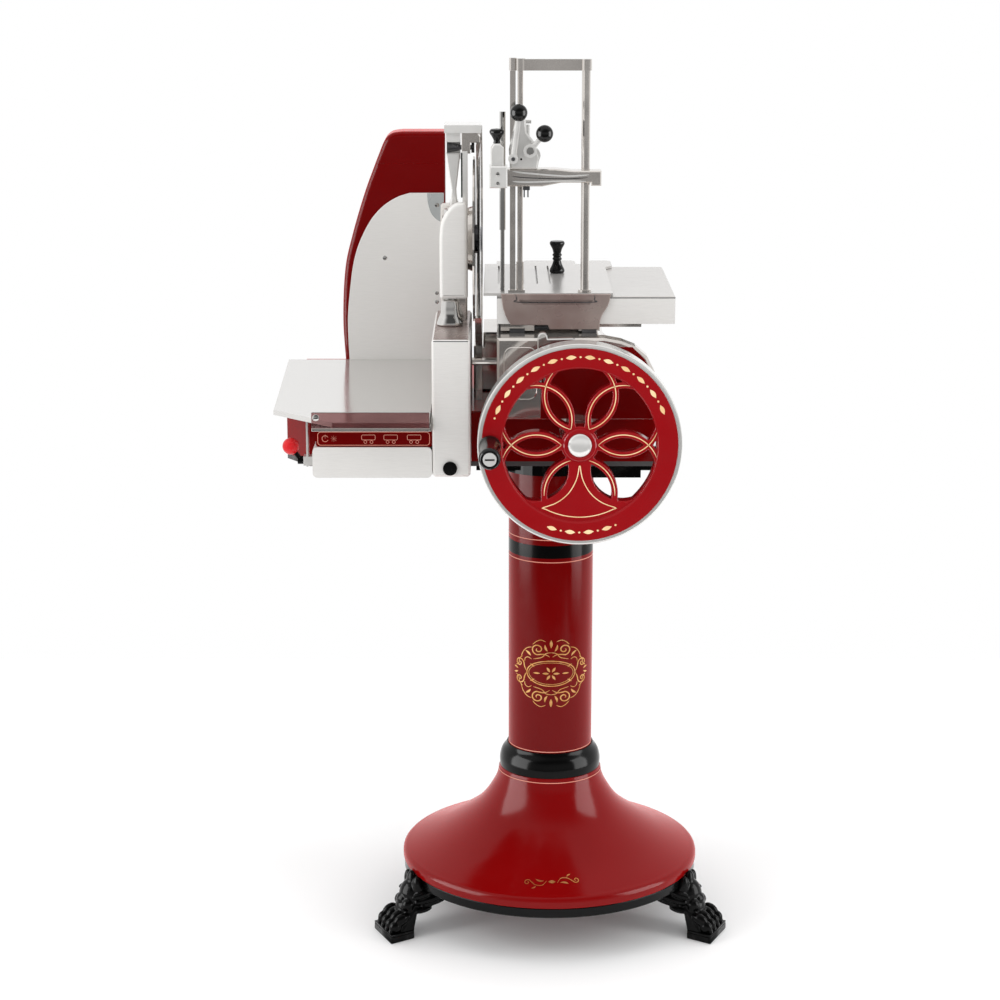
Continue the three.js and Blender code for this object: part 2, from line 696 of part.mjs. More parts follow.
// A straight bevel gear whose pitch cone ends in its own origin, axis along +Z, teeth as an outline
function bevelGear(teeth, pitchRadius, coneHeight, bore) {
  const toothCorners = [
    [-0.36, pitchRadius - 3],
    [-0.14, pitchRadius + 0.8],
    [0.14, pitchRadius + 0.8],
    [0.36, pitchRadius - 3],
  ];
  const corners = [];
  for (let tooth = 0; tooth < teeth; tooth += 1) {
    for (const [step, radius] of toothCorners) {
      const angle = ((tooth + step) * 2 * Math.PI) / teeth;
      corners.push([radius * Math.cos(angle), radius * Math.sin(angle)]);
    }
  }
  const shape = polygon(...corners);
  const face = coneHeight * 0.3;
  const geometry = new THREE.ExtrudeGeometry(shape, { depth: face, bevelEnabled: false });
  const position = geometry.attributes.position;
  for (let i = 0; i < position.count; i += 1) {
    const shrink = 1 - position.getZ(i) / coneHeight;
    position.setXYZ(i, position.getX(i) * shrink, position.getY(i) * shrink, coneHeight - position.getZ(i));
  }
  geometry.scale(1, 1, -1);
  return cut(geometry, rodZ(bore, -100, 100, 0, 0, 16));
}

const halfTooth = 180 / LARGE_BEVEL_TEETH;
add(
  "drive_bevel_gear",
  bevelGear(LARGE_BEVEL_TEETH, BEVEL_RADIUS, BEVEL_RADIUS / 2, SHAFT_RADIUS + GAP)
    .rotateZ(rad(halfTooth))
    .rotateX(Math.PI / 2)
    .rotateX(Math.PI)
    .translate(WHEEL_X, 0, WHEEL_Z),
  ...DARK_STEEL,
);
add(
  "cross_bevel_pinion",
  bevelGear(SMALL_BEVEL_TEETH, BEVEL_RADIUS / 2, BEVEL_RADIUS, CROSS_SHAFT_RADIUS + GAP)
    .rotateY(Math.PI / 2)
    .translate(WHEEL_X, 0, WHEEL_Z),
  ...DARK_STEEL,
);

function sprocket(teeth, radius, x0, x1, z) {
  const shape = new THREE.Shape();
  for (let step = 0; step < 2 * teeth; step += 1) {
    const angle = (step * Math.PI) / teeth;
    const reach = step % 2 === 0 ? radius : radius - 4;
    if (step === 0) shape.moveTo(reach, 0);
    else shape.lineTo(reach * Math.cos(angle), reach * Math.sin(angle));
  }
  return sidePlate(shape, x0, x1).translate(0, 0, z);
}

const chainFrom = CHAIN_X - 3;
const chainTo = CHAIN_X + 3;
add(
  "cross_shaft",
  join(
    rodX(CROSS_SHAFT_RADIUS, CHAIN_X - 8, 4, 0, WHEEL_Z),
    sprocket(LOWER_SPROCKET_TEETH, LOWER_SPROCKET_RADIUS, chainFrom, chainTo, WHEEL_Z),
  ),
  ...DARK_STEEL,
);

// The loop round both sprockets; their centres are a known height apart
function chainLoop(clearance) {
  const lower = LOWER_SPROCKET_RADIUS + clearance;
  const upper = UPPER_SPROCKET_RADIUS + clearance;
  const height = BLADE_Z - WHEEL_Z;
  const lean = Math.asin((lower - upper) / height);
  const shape = new THREE.Shape();
  shape.absarc(0, WHEEL_Z, lower, Math.PI - lean, 2 * Math.PI + lean);
  shape.absarc(0, BLADE_Z, upper, lean, Math.PI - lean);
  return shape;
}
add(
  "drive_chain",
  cut(
    sidePlate(chainLoop(CHAIN_SLACK + 4), chainFrom, chainTo, 0, 6),
    sidePlate(chainLoop(CHAIN_SLACK), chainFrom - 5, chainTo + 5, 0, 6),
  ),
  ...DARK_STEEL,
);

// Blade and its supports

const supportSide = new THREE.Shape();
supportSide.moveTo(-42, PILLAR_TOP + GAP);
supportSide.lineTo(62, PILLAR_TOP + GAP);
supportSide.lineTo(44, 1232);
supportSide.absarc(0, 1222, 40, 0.25, Math.PI);
supportSide.lineTo(-42, 1222);
const supportRight = COVER_LEFT - GAP;
add(
  "blade_support",
  cut(
    sidePlate(supportSide, SUPPORT_LEFT, supportRight, 3, 5),
    box(SUPPORT_LEFT + 6, supportRight - 6, -36, 36, PILLAR_TOP - 10, 1238),
    rodX(BLADE_SHAFT_RADIUS + RUNNING_GAP, supportRight - 10, supportRight + 10, 0, BLADE_Z),
  ),
  ...POLISHED,
);

const bladeCoverProfile = [
  [40, COVER_LEFT],
  [52, COVER_LEFT],
  [55, -134],
  [COVER_RADIUS, -133],
  [COVER_RADIUS, -130],
  [40, -130],
  [40, COVER_LEFT],
];
add("blade_cover", revolveX(bladeCoverProfile, 0, BLADE_Z, 32), ...POLISHED);

const bladeProfile = [
  [BLADE_SHAFT_RADIUS + GAP, -124],
  [COVER_RADIUS, -124],
  [BLADE_RADIUS, -120.7],
  [BLADE_RADIUS, -120.2],
  [60, -120.8],
  [BLADE_SHAFT_RADIUS + GAP, -120],
  [BLADE_SHAFT_RADIUS + GAP, -124],
];
add("blade", revolveX(bladeProfile, 0, BLADE_Z, 40), ...CHROME);

const arborProfile = [
  [0, CHAIN_X - 9],
  [BLADE_SHAFT_RADIUS, CHAIN_X - 9],
  [BLADE_SHAFT_RADIUS, -134],
  [24, -134],
  [24, -124 - GAP],
  [BLADE_SHAFT_RADIUS, -124 - GAP],
  [BLADE_SHAFT_RADIUS, -120 + GAP],
  [22, -120 + GAP],
  [20, -117.5],
  [0, -117.5],
];
add(
  "blade_arbor",
  join(
    revolveX(arborProfile, 0, BLADE_Z, 14),
    sprocket(UPPER_SPROCKET_TEETH, UPPER_SPROCKET_RADIUS, chainFrom, chainTo, BLADE_Z),
  ),
  ...DARK_STEEL,
);

const guardInside = rodX(GUARD_INNER, -200, 0, 0, GUARD_Z, 48);
add(
  "blade_guard_ring",
  cut(
    join(
      cut(rodX(GUARD_OUTER, GUARD_LEFT, GUARD_RIGHT, 0, GUARD_Z, 48), box(-200, 0, -300, 45, 1090, 1500)),
      box(GUARD_LEFT, GUARD_RIGHT, -36, 36, BASE_TOP + GAP, GUARD_Z - GUARD_INNER - 4),
    ),
    guardInside,
  ),
  ...SATIN,
);

// Sharpener over the blade

const supportTop = 1262;
const headFoot = BLADE_TOP - 13.5;
const knobHeight = headFoot + 8;
const bracketTop = headFoot + 34;
const hourglass = polygon(
  [-172, supportTop - 12],
  [-158, supportTop - 12],
  [-161, supportTop + 22],
  [-157, headFoot - 29],
  [-153.5, headFoot - 1],
  [-178, headFoot - 1],
  [-174, headFoot - 29],
  [-169, supportTop + 22],
);
add(
  "sharpener_bracket",
  cut(
    join(
      frontPlate(hourglass, -20, 14, 2),
      box(-177, -154, 6, 24, headFoot - 13, bracketTop + 2),
      box(-177, -154, -36, 24, bracketTop - 15, bracketTop + 2),
      box(-180, -119, -42, 26, bracketTop, bracketTop + 13),
      box(-172, -158, -10, 10, 1245, 1266),
    ),
    sidePlate(supportSide, SUPPORT_LEFT, supportRight).translate(0, 0, GAP),
  ),
  ...POLISHED,
);
const headShape = polygon(
  [-151.5, headFoot],
  [-137, headFoot],
  [-137, headFoot + 18],
  [-121, headFoot + 18],
  [-121, headFoot + 27],
  [-125, bracketTop - GAP],
  [-151.5, bracketTop - GAP],
);
add(
  "sharpener_head",
  cut(frontPlate(headShape, -38, 22, 1), rodX(4 + RUNNING_GAP, -160, -120, -12, knobHeight)),
  ...POLISHED,
);
const stoneProfile = [
  [0, -176],
  [9, -176],
  [8, -170],
  [5.5, -155],
  [4, -155],
  [4, -135.5],
  [9, -135.5],
  [9, -130.5],
  [0, -130.5],
];
add("sharpening_stone_knob", revolveX(stoneProfile, -12, knobHeight, 16), ...DARK_STEEL);

// Slice deflector on its post

const postProfile = [
  [0, PILLAR_TOP + GAP],
  [22, PILLAR_TOP + GAP],
  [22, 1076],
  [16, 1090],
  [15, 1112],
  [9, 1112],
  [9, 1262],
  [0, 1262],
];
add("deflector_post", revolve(postProfile, 18).translate(POST_X, POST_Y, 0), ...CHROME);
const deflectorShape = new THREE.Shape();
deflectorShape.moveTo(-186, 1113);
deflectorShape.lineTo(-141, 1113);
deflectorShape.lineTo(-141, 1268);
deflectorShape.lineTo(-148, 1273);
deflectorShape.quadraticCurveTo(-186, 1268, -188, 1222);
add(
  "slice_deflector",
  cut(
    frontPlate(deflectorShape, POST_Y - 13, POST_Y + 13, 5, 5),
    rodZ(9 + RUNNING_GAP, 1000, 1263, POST_X, POST_Y),
  ),
  ...POLISHED,
);

// Carriage on the rails: it runs to and fro along Y

const frameTop = COVER_TOP - SHEET - GAP;
const runnerSides = [
  [-87, -32],
  [RAIL_CENTRES[1] - 17, RAIL_CENTRES[1] + 17],
];
const runners = runnerSides.map(([x0, x1], index) =>
  cut(
    box(x0, x1, TABLE_FRONT + 6, TABLE_REAR - 4, railTieTop + RUNNING_GAP, 1092),
    box(
      RAIL_CENTRES[index] - 12 - RUNNING_GAP,
      RAIL_CENTRES[index] + 12 + RUNNING_GAP,
      -300,
      300,
      1000,
      RAIL_TOP + RUNNING_GAP,
    ),
  ),
);
add(
  "carriage_frame",
  join(
    ...runners,
    box(-84, 190, -110, -95, 1083, frameTop),
    box(-84, 190, 130, 145, 1083, frameTop),
    box(70, 143, TABLE_FRONT + 6, TABLE_FRONT + 12, 1075.5, 1086),
  ),
  ...DARK_STEEL,
);
const coverShape = (inset) =>
  roundedRect(COVER_LEFT_EDGE + inset, 198 - inset, TABLE_FRONT + inset, TABLE_REAR - inset, 5);
add(
  "carriage_cover",
  cut(
    topPlate(coverShape(0), 1081, COVER_TOP, 2, 2),
    topPlate(coverShape(SHEET), 1000, COVER_TOP - SHEET, 0, 1),
  ),
  ...SATIN,
);

// Meat table: it feeds across the carriage along X

const tableOutline = polygon(
  [-115, TABLE_FRONT],
  [96, TABLE_FRONT],
  [96, 150],
  [108, 168],
  [108, 224],
  [101, 232],
  [72, 232],
  [65, 224],
  [65, TABLE_REAR],
  [45, TABLE_REAR],
  [45, 224],
  [38, 232],
  [-40, 232],
  [-47, 224],
  [-47, TABLE_REAR],
  [-83, TABLE_REAR],
  [-83, 226],
  [-94, 226],
  [-94, TABLE_REAR],
  [-115, TABLE_REAR],
);
const tableSlots = [-90, -49, -26, -5].map((x) => box(x - 1.5, x + 1.5, -45, 165, 1100, 1200));
add(
  "meat_table",
  cut(topPlate(tableOutline, COVER_TOP + RUNNING_GAP, TABLE_TOP), ...tableSlots),
  ...SATIN,
);

const panel = new THREE.Shape();
panel.moveTo(-86, 1131);
panel.quadraticCurveTo(-84, 1098, -70, 1080);
panel.lineTo(-10, 1080);
panel.lineTo(-7, 1073);
panel.lineTo(74, 1073);
panel.quadraticCurveTo(74, 1090, 80, 1100);
panel.quadraticCurveTo(91, 1114, 92, 1131);
const fingerSlot = polygon([-50, 1114], [58, 1114], [63, 1122], [-58, 1122]);
const panelRear = TABLE_FRONT - GAP;
add(
  "slot_panel",
  cut(frontPlate(panel, panelRear - 5, panelRear, 1, 5), frontPlate(fingerSlot, -200, panelRear - 2)),
  ...POLISHED,
);

const spoolProfile = [
  [0, TABLE_TOP + GAP],
  [13, TABLE_TOP + GAP],
  [13, 1142],
  [7, 1152],
  [5.5, 1159],
  [8, 1166],
  [13, 1177],
  [13.5, 1184],
  [11, 1188],
  [0, 1188],
];
add("spool_knob", revolve(spoolProfile, 14).translate(10, 78, 0), ...BLACK_PLASTIC);

// Guide posts, crossbar and clamp

const postFoot = TABLE_TOP + GAP;
add(
  "guide_posts_left",
  join(
    box(FLAT_POST_X - 4.5, FLAT_POST_X + 4.5, CLAMP_Y - 3, CLAMP_Y + 3, postFoot, CROSSBAR_BOTTOM - GAP),
    rodZ(4.5, postFoot, CROSSBAR_BOTTOM - GAP, ROUND_POST_X, CLAMP_Y, 12),
    rodZ(6, postFoot, 1182, ROUND_POST_X, CLAMP_Y, 12),
    box(FLAT_POST_X - 7, ROUND_POST_X + 8, CLAMP_Y - 8, CLAMP_Y + 8, postFoot, postFoot + 4),
  ),
  ...POLISHED,
);
const feedRodTop = CROSSBAR_BOTTOM - 65;
add(
  "feed_rod",
  join(
    rodZ(3.5, postFoot, feedRodTop, FEED_ROD_X, CLAMP_Y, 10),
    rodZ(5, feedRodTop - 190, feedRodTop, FEED_ROD_X, CLAMP_Y, 10),
  ),
  ...CHROME,
);
add(
  "guide_post_right",
  join(
    rodZ(RIGHT_POST_RADIUS, postFoot, CROSSBAR_BOTTOM - GAP, RIGHT_POST_X, CLAMP_Y, 16),
    rodZ(11, postFoot, postFoot + 4, RIGHT_POST_X, CLAMP_Y, 16),
  ),
  ...POLISHED,
);
add(
  "top_crossbar",
  join(
    box(ROUND_POST_X, RIGHT_POST_X, CLAMP_Y - 5, CLAMP_Y + 3, CROSSBAR_BOTTOM, CROSSBAR_BOTTOM + 18),
    rodZ(8, CROSSBAR_BOTTOM, CROSSBAR_BOTTOM + 19, ROUND_POST_X, CLAMP_Y, 14),
    rodZ(6, CROSSBAR_BOTTOM, CROSSBAR_BOTTOM + 20, FLAT_POST_X, CLAMP_Y, 12),
    rodZ(9, CROSSBAR_BOTTOM, CROSSBAR_BOTTOM + 18, RIGHT_POST_X, CLAMP_Y, 16),
  ),
  ...SATIN,
);

const clampFront = CLAMP_Y - 20;
const flatPostSlot = box(
  FLAT_POST_X - 4.5 - RUNNING_GAP,
  FLAT_POST_X + 4.5 + RUNNING_GAP,
  CLAMP_Y - 3 - RUNNING_GAP,
  CLAMP_Y + 3 + RUNNING_GAP,
  CLAMP_FOOT - 106,
  CLAMP_FOOT + 94,
);
const armShape = polygon(
  [-76, CLAMP_FOOT],
  [-20, CLAMP_FOOT],
  [10, CLAMP_FOOT + 6],
  [58, CLAMP_FOOT + 6],
  [58, CLAMP_FOOT + 1],
  [75, CLAMP_FOOT + 1],
  [75, CLAMP_FOOT + 25],
  [30, CLAMP_FOOT + 25],
  [0, CLAMP_FOOT + 28],
  [-76, CLAMP_FOOT + 28],
);
add(
  "clamp_arm",
  cut(
    frontPlate(armShape, clampFront, CLAMP_Y + 14, 2),
    flatPostSlot,
    rodZ(4.5 + RUNNING_GAP, CLAMP_FOOT - 106, CLAMP_FOOT + 94, ROUND_POST_X, CLAMP_Y, 12),
    rodZ(RIGHT_POST_RADIUS + RUNNING_GAP, CLAMP_FOOT - 106, CLAMP_FOOT + 94, RIGHT_POST_X, CLAMP_Y, 16),
  ),
  ...SATIN,
);
const bracketRear = CLAMP_Y - 7;
const clampBracket = polygon(
  [-72, CLAMP_FOOT + 28 + GAP],
  [-28, CLAMP_FOOT + 28 + GAP],
  [-24, CLAMP_FOOT + 46],
  [-32, CLAMP_FOOT + 70],
  [-45, CLAMP_FOOT + 86],
  [-48, CLAMP_FOOT + 115],
  [-61, CLAMP_FOOT + 115],
  [-74, CLAMP_FOOT + 60],
);
add(
  "clamp_bracket",
  join(
    frontPlate(clampBracket, bracketRear - 16, bracketRear, 3),
    rodX(3, -52, -38, bracketRear - 8, CLAMP_FOOT + 103, 10),
    rodY(13, bracketRear - 15, bracketRear + 5, -36, CLAMP_FOOT + 50, 20),
    rodZ(6, CLAMP_FOOT + 30, CLAMP_FOOT + 98, -46, bracketRear - 2, 14),
  ),
  ...CHROME,
);
const blockRear = CLAMP_Y - 12;
const clampBlockFoot = polygon(
  [-105, CLAMP_FOOT],
  [-76 - GAP, CLAMP_FOOT],
  [-76 - GAP, CLAMP_FOOT + 35],
  [-105, CLAMP_FOOT + 35],
);
const clampBlockHead = polygon(
  [-103, CLAMP_FOOT + 32],
  [-82, CLAMP_FOOT + 32],
  [-82, CLAMP_FOOT + 64],
  [-88, CLAMP_FOOT + 70],
  [-98, CLAMP_FOOT + 70],
  [-103, CLAMP_FOOT + 62],
);
add(
  "clamp_block",
  join(
    frontPlate(clampBlockFoot, blockRear - 34, blockRear, 2),
    frontPlate(clampBlockHead, blockRear - 30, blockRear - 4, 2),
  ),
  ...CHROME,
);
const mushroomProfile = [
  [0, CLAMP_FOOT + 70 + GAP],
  [6, CLAMP_FOOT + 70 + GAP],
  [5, CLAMP_FOOT + 76],
  [9, CLAMP_FOOT + 82],
  [12, CLAMP_FOOT + 88],
  [11, CLAMP_FOOT + 93],
  [0, CLAMP_FOOT + 94],
];
add("clamp_mushroom_knob", revolve(mushroomProfile, 16).translate(-93, blockRear - 17, 0), ...BLACK_PLASTIC);

// A lever with a ball on its end and a hub on its pivot, both in a plane of constant Y
function ballLever(pivot, ball, y, hubRear) {
  return join(
    ellipsoid(14, 14, 14, ball[0], y, ball[1], 12, 8),
    bar([pivot[0], y, pivot[1]], [ball[0], y, ball[1]], 4.2, 10),
    rodY(8, y - 6, hubRear, pivot[0], pivot[1], 14),
  );
}
const leverPlane = bracketRear - 31;
const leverRear = bracketRear - 16 - GAP;
const tallLever = ballLever(TALL_LEVER, [-58, CLAMP_FOOT + 119], leverPlane, leverRear);
const shortLever = ballLever(SHORT_LEVER, [-17, CLAMP_FOOT + 86], leverPlane, leverRear);
add("clamp_ball_lever_tall", tallLever, ...BLACK_PLASTIC);
add("clamp_ball_lever_short", shortLever, ...BLACK_PLASTIC);
const prongs = [-49, -43].map((x) => rodZ(1.3, CLAMP_FOOT - 18, CLAMP_FOOT - 4, x, CLAMP_Y - 12, 6));
const prongPlate = box(-51, -40, CLAMP_Y - 18, CLAMP_Y - 4, CLAMP_FOOT - 6, CLAMP_FOOT - GAP);
add("clamp_prongs", join(prongPlate, ...prongs), ...DARK_STEEL);

// Receiving tray with its guard, and the lever with the red ball

const trayRear = BACK_PLATE_FRONT - 1;
const trayOutline = (inset) =>
  polygon(
    [-355 + inset * 0.4, TRAY_FRONT + inset],
    [-201 - inset, TRAY_FRONT + inset],
    [-201 - inset, trayRear - inset],
    [-472 + inset, trayRear - inset],
    [-458 + inset, -184 + inset * 0.4],
  );
const overhang = box(-500, -190, TRAY_FRONT - 5, BASE_FRONT, 900, TRAY_TOP - TRAY_LIP);
add(
  "receiving_tray",
  cut(
    topPlate(trayOutline(0), BASE_TOP + GAP, TRAY_TOP, 1),
    topPlate(trayOutline(SHEET), 900, TRAY_TOP - SHEET),
    overhang,
  ),
  ...POLISHED,
);
const guardFront = TRAY_FRONT - 6;
const guardFoot = TRAY_TOP - TRAY_LIP;
const guardLug = (x) =>
  cut(
    join(
      box(x - 4, x + 4, guardFront, railFront - 3, guardFoot - 6, guardFoot - 1),
      box(x - 4, x + 4, guardFront, guardFront + SHEET, guardFoot - 6, guardFoot + 6),
      box(x - 4, x + 4, GUARD_HINGE_Y - 6, railFront - 3, GUARD_HINGE_Z - 4, guardFoot - 1),
    ),
    rodX(2.2 + RUNNING_GAP, x - 20, x + 20, GUARD_HINGE_Y, GUARD_HINGE_Z, 8),
  );
add(
  "tray_guard",
  join(
    box(-388, boxRight - 2, guardFront, guardFront + SHEET, guardFoot, TRAY_TOP + 17),
    ...GUARD_LUGS.map(guardLug),
  ),
  ...CHROME,
);
add(
  "lever_bracket",
  join(
    box(-404, -401, BALL_LEVER_Y - 12, BALL_LEVER_Y + 8, 854, 930),
    box(-409, -392 - GAP, BALL_LEVER_Y - 12, BALL_LEVER_Y + 8, 856, 871),
  ),
  ...CHROME,
);
add(
  "red_ball_lever",
  join(
    ellipsoid(14, 14, 14, -430, BALL_LEVER_Y, 886, 12, 8),
    bar([-414, BALL_LEVER_Y, 863], [-430, BALL_LEVER_Y, 886], 4, 10),
    rodX(7, -419, -409 - GAP, BALL_LEVER_Y, 863, 14),
  ),
  0xb3101a,
  0.3,
  0,
);

// The part stands on the floor with its origin under the middle of its bounding box
const bounds = new THREE.Box3().setFromObject(slicer);
const centre = bounds.getCenter(new THREE.Vector3());
slicer.position.set(-centre.x, -centre.y, -bounds.min.z);
slicer.updateMatrixWorld(true);

export default slicer;
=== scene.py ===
"""Visual model of the hand crank meat slicer, built round its CAD frame."""

import json
import math

import bmesh
import bpy
from mathutils import Euler, Matrix, Vector

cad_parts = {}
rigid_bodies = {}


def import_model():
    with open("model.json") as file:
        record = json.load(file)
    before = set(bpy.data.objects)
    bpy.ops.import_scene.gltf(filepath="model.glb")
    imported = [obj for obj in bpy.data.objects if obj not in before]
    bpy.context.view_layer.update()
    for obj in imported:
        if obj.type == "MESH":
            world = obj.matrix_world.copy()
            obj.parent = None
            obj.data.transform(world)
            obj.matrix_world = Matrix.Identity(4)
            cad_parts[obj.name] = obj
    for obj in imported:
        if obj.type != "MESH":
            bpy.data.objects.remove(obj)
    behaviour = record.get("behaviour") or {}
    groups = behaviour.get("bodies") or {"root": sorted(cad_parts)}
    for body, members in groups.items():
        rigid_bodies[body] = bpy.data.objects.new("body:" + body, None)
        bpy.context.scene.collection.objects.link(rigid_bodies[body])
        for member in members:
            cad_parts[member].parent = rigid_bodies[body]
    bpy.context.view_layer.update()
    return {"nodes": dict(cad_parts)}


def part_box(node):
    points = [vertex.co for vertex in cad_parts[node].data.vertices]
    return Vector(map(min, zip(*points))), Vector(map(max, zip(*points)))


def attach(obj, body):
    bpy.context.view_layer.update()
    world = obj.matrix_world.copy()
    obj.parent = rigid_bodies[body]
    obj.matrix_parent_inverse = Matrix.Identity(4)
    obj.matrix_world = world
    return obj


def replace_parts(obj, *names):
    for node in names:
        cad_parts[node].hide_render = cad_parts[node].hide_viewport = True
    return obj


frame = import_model()
nodes = frame["nodes"]

# Working frame: millimetres, the column axis at X = 0, Y = 0 and the floor at Z = 0
column_low, column_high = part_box("pedestal_column")
SHIFT = Vector(((column_low[0] + column_high[0]) / 2, (column_low[1] + column_high[1]) / 2, 0))
MM = 0.001

MACHINE = "stand_and_machine"
WHEEL = "flywheel_assembly"

# Axes and front faces of the CAD's pieces, in millimetres of the working frame
WHEEL_CENTRE = (39, 911)
GRIP_CENTRE = (-104, 911)
BLADE_CENTRE = (0, 1201)
WEB_FRONT = -297
RIM_FRONT = -300
STRIP_FRONT = -227
ARM_FRONT = -158
APRON_FRONT = -155.3
CLAMP_FRONT = -184
GUARD_FRONT = -290
PLATE_FRONT = 280
SHELL_DEPTH = (284.3, 353)
TABLE_TOP = 1132
COLUMN_RADIUS = 73


def at(x, y, z):
    """A point of the working frame in metres of the row frame."""
    return Vector((x * MM, y * MM, z * MM)) + SHIFT


# Materials


def new_material(name):
    material = bpy.data.materials.new(name)
    material.use_nodes = True
    tree = material.node_tree
    return material, tree, tree.nodes["Principled BSDF"]


def set_inputs(node, values):
    for name, value in values.items():
        node.inputs[name].default_value = value


def noise(tree, scale, detail=3, stretch=(1, 1, 1)):
    """A noise over object space, finer along the axes with a larger stretch."""
    where = tree.nodes.new("ShaderNodeTexCoord")
    mapping = tree.nodes.new("ShaderNodeMapping")
    set_inputs(mapping, {"Scale": stretch})
    texture = tree.nodes.new("ShaderNodeTexNoise")
    set_inputs(texture, {"Scale": scale, "Detail": detail})
    tree.links.new(where.outputs["Object"], mapping.inputs["Vector"])
    tree.links.new(mapping.outputs["Vector"], texture.inputs["Vector"])
    return texture.outputs["Fac"]


def spread(tree, source, low, high, start=0.3, end=0.7):
    """Maps a noise to a range of values."""
    node = tree.nodes.new("ShaderNodeMapRange")
    set_inputs(node, {"From Min": start, "From Max": end, "To Min": low, "To Max": high})
    tree.links.new(source, node.inputs["Value"])
    return node.outputs["Result"]


def colours(tree, source, dark, light, start=0.35, end=0.65):
    """Maps a noise to a blend of two colours."""
    ramp = tree.nodes.new("ShaderNodeValToRGB")
    ramp.color_ramp.elements[0].position = start
    ramp.color_ramp.elements[0].color = (*dark, 1)
    ramp.color_ramp.elements[1].position = end
    ramp.color_ramp.elements[1].color = (*light, 1)
    tree.links.new(source, ramp.inputs["Fac"])
    return ramp.outputs["Color"]


def bump(tree, shader, source, strength, distance=0.0005):
    """Raises a surface by a noise, its distance in metres."""
    node = tree.nodes.new("ShaderNodeBump")
    set_inputs(node, {"Strength": strength, "Distance": distance})
    tree.links.new(source, node.inputs["Height"])
    tree.links.new(node.outputs["Normal"], shader.inputs["Normal"])


def enamel(name, dark, light, gloss=0.1, shine=0.32, sheen=0.0):
    material, tree, shader = new_material(name)
    tree.links.new(colours(tree, noise(tree, 5), dark, light), shader.inputs["Base Color"])
    tree.links.new(spread(tree, noise(tree, 22), gloss, gloss + 0.08), shader.inputs["Roughness"])
    set_inputs(shader, {"Specular IOR Level": shine, "Sheen Weight": sheen, "Sheen Roughness": 0.5})
    set_inputs(shader, {"Sheen Tint": (1, 0.02, 0.02, 1)})
    bump(tree, shader, noise(tree, 90, 2), 0.02, 0.0003)
    return material


def metal(
    name, dark, light, gloss, rougher, stretch=(1, 1, 1), scale=30, relief=0.01, metallic=1.0, waves=0.0
):
    material, tree, shader = new_material(name)
    set_inputs(shader, {"Metallic": metallic})
    tree.links.new(colours(tree, noise(tree, scale, 4, stretch), dark, light), shader.inputs["Base Color"])
    tree.links.new(
        spread(tree, noise(tree, scale * 1.7, 4, stretch), gloss, rougher), shader.inputs["Roughness"]
    )
    if waves:
        bump(tree, shader, noise(tree, 16, 1), waves, 0.004)
    else:
        bump(tree, shader, noise(tree, scale * 3, 3, stretch), relief, 0.0001)
    return material


def plastic(name, dark, light, gloss, relief=0.08):
    material, tree, shader = new_material(name)
    set_inputs(shader, {"Specular IOR Level": 0.3})
    tree.links.new(colours(tree, noise(tree, 30), dark, light), shader.inputs["Base Color"])
    tree.links.new(spread(tree, noise(tree, 60), gloss, gloss + 0.12), shader.inputs["Roughness"])
    bump(tree, shader, noise(tree, 400, 2), relief, 0.0002)
    return material


def clear_plastic(name, dark=(0.86, 0.87, 0.86), light=(0.93, 0.94, 0.93)):
    material, tree, shader = new_material(name)
    set_inputs(shader, {"Transmission Weight": 0.95, "IOR": 1.2})
    tree.links.new(colours(tree, noise(tree, 14), dark, light), shader.inputs["Base Color"])
    tree.links.new(spread(tree, noise(tree, 60, 4), 0.0, 0.05), shader.inputs["Roughness"])
    return material


RED = enamel("red_enamel", (0.11, 0.0004, 0.0005), (0.125, 0.0006, 0.0008), 0.1, 0.14, 0.6)
# The bell's enamel is the column's red made lighter: painted light on the bell's sloping face
LIT_BELL_RED = enamel("bell_red_enamel_painted_lighter", (0.155, 0.0008, 0.001), (0.17, 0.001, 0.0015), 0.12, 0.16, 0.6)
# The wheel's enamel is the column's red made lighter: painted light on the wheel's front face
LIT_WHEEL_RED = enamel("wheel_red_enamel_painted_lighter", (0.25, 0.003, 0.005), (0.285, 0.005, 0.008))
BLACK = enamel("black_enamel", (0.001, 0.001, 0.001), (0.003, 0.003, 0.003), 0.12, 0.14)
IRON = enamel("black_cast_iron", (0.001, 0.001, 0.001), (0.003, 0.003, 0.003), 0.14, 0.12)
SATIN = metal("satin_steel", (0.8, 0.785, 0.76), (0.83, 0.815, 0.79), 0.3, 0.36, (1, 1, 14), 60, 0.002, 0.25)
SATIN_FLAT = metal(
    "satin_steel_flat", (0.56, 0.54, 0.52), (0.575, 0.555, 0.535), 0.22, 0.26, (1, 1, 6), 40, 0.0005, 0.3
)
TABLE = metal("table_steel", (0.62, 0.6, 0.58), (0.64, 0.62, 0.6), 0.2, 0.26, (1, 8, 1), 40, 0.001, 0.45)
PLATE = metal(
    "back_plate_steel", (0.8, 0.785, 0.76), (0.82, 0.805, 0.78), 0.34, 0.4, (1, 1, 12), 60, 0.002, 0.3
)
BRIGHT_STEEL = metal(
    "bright_steel", (0.8, 0.79, 0.77), (0.84, 0.83, 0.81), 0.12, 0.2, scale=60, relief=0.002, metallic=0.45
)
RIM_STEEL = metal(
    "rim_steel", (0.76, 0.75, 0.73), (0.8, 0.79, 0.77), 0.12, 0.2, scale=60, relief=0.002, metallic=0.6
)
TRAY = metal("tray_steel", (0.68, 0.665, 0.65), (0.7, 0.69, 0.67), 0.12, 0.18, (12, 1, 1), 60, 0.001, 0.7)
POLISHED = metal(
    "polished_casting", (0.64, 0.6, 0.565), (0.72, 0.68, 0.64), 0.07, 0.13, scale=9, metallic=0.85, waves=0.2
)
# Pressed steel with a pink cast: grey steel with a painted reflection of the red wheel, on the apron and the
# pillar's top
PRESSED_RED_REFLECTION = metal(
    "pressed_steel_red_reflection", (0.27, 0.18, 0.165), (0.42, 0.34, 0.31), 0.24, 0.3, scale=9, metallic=0.55, waves=0.06
)
PLINTH_GREY = enamel("plinth_grey", (0.05, 0.045, 0.045), (0.065, 0.06, 0.06), 0.2, 0.2)
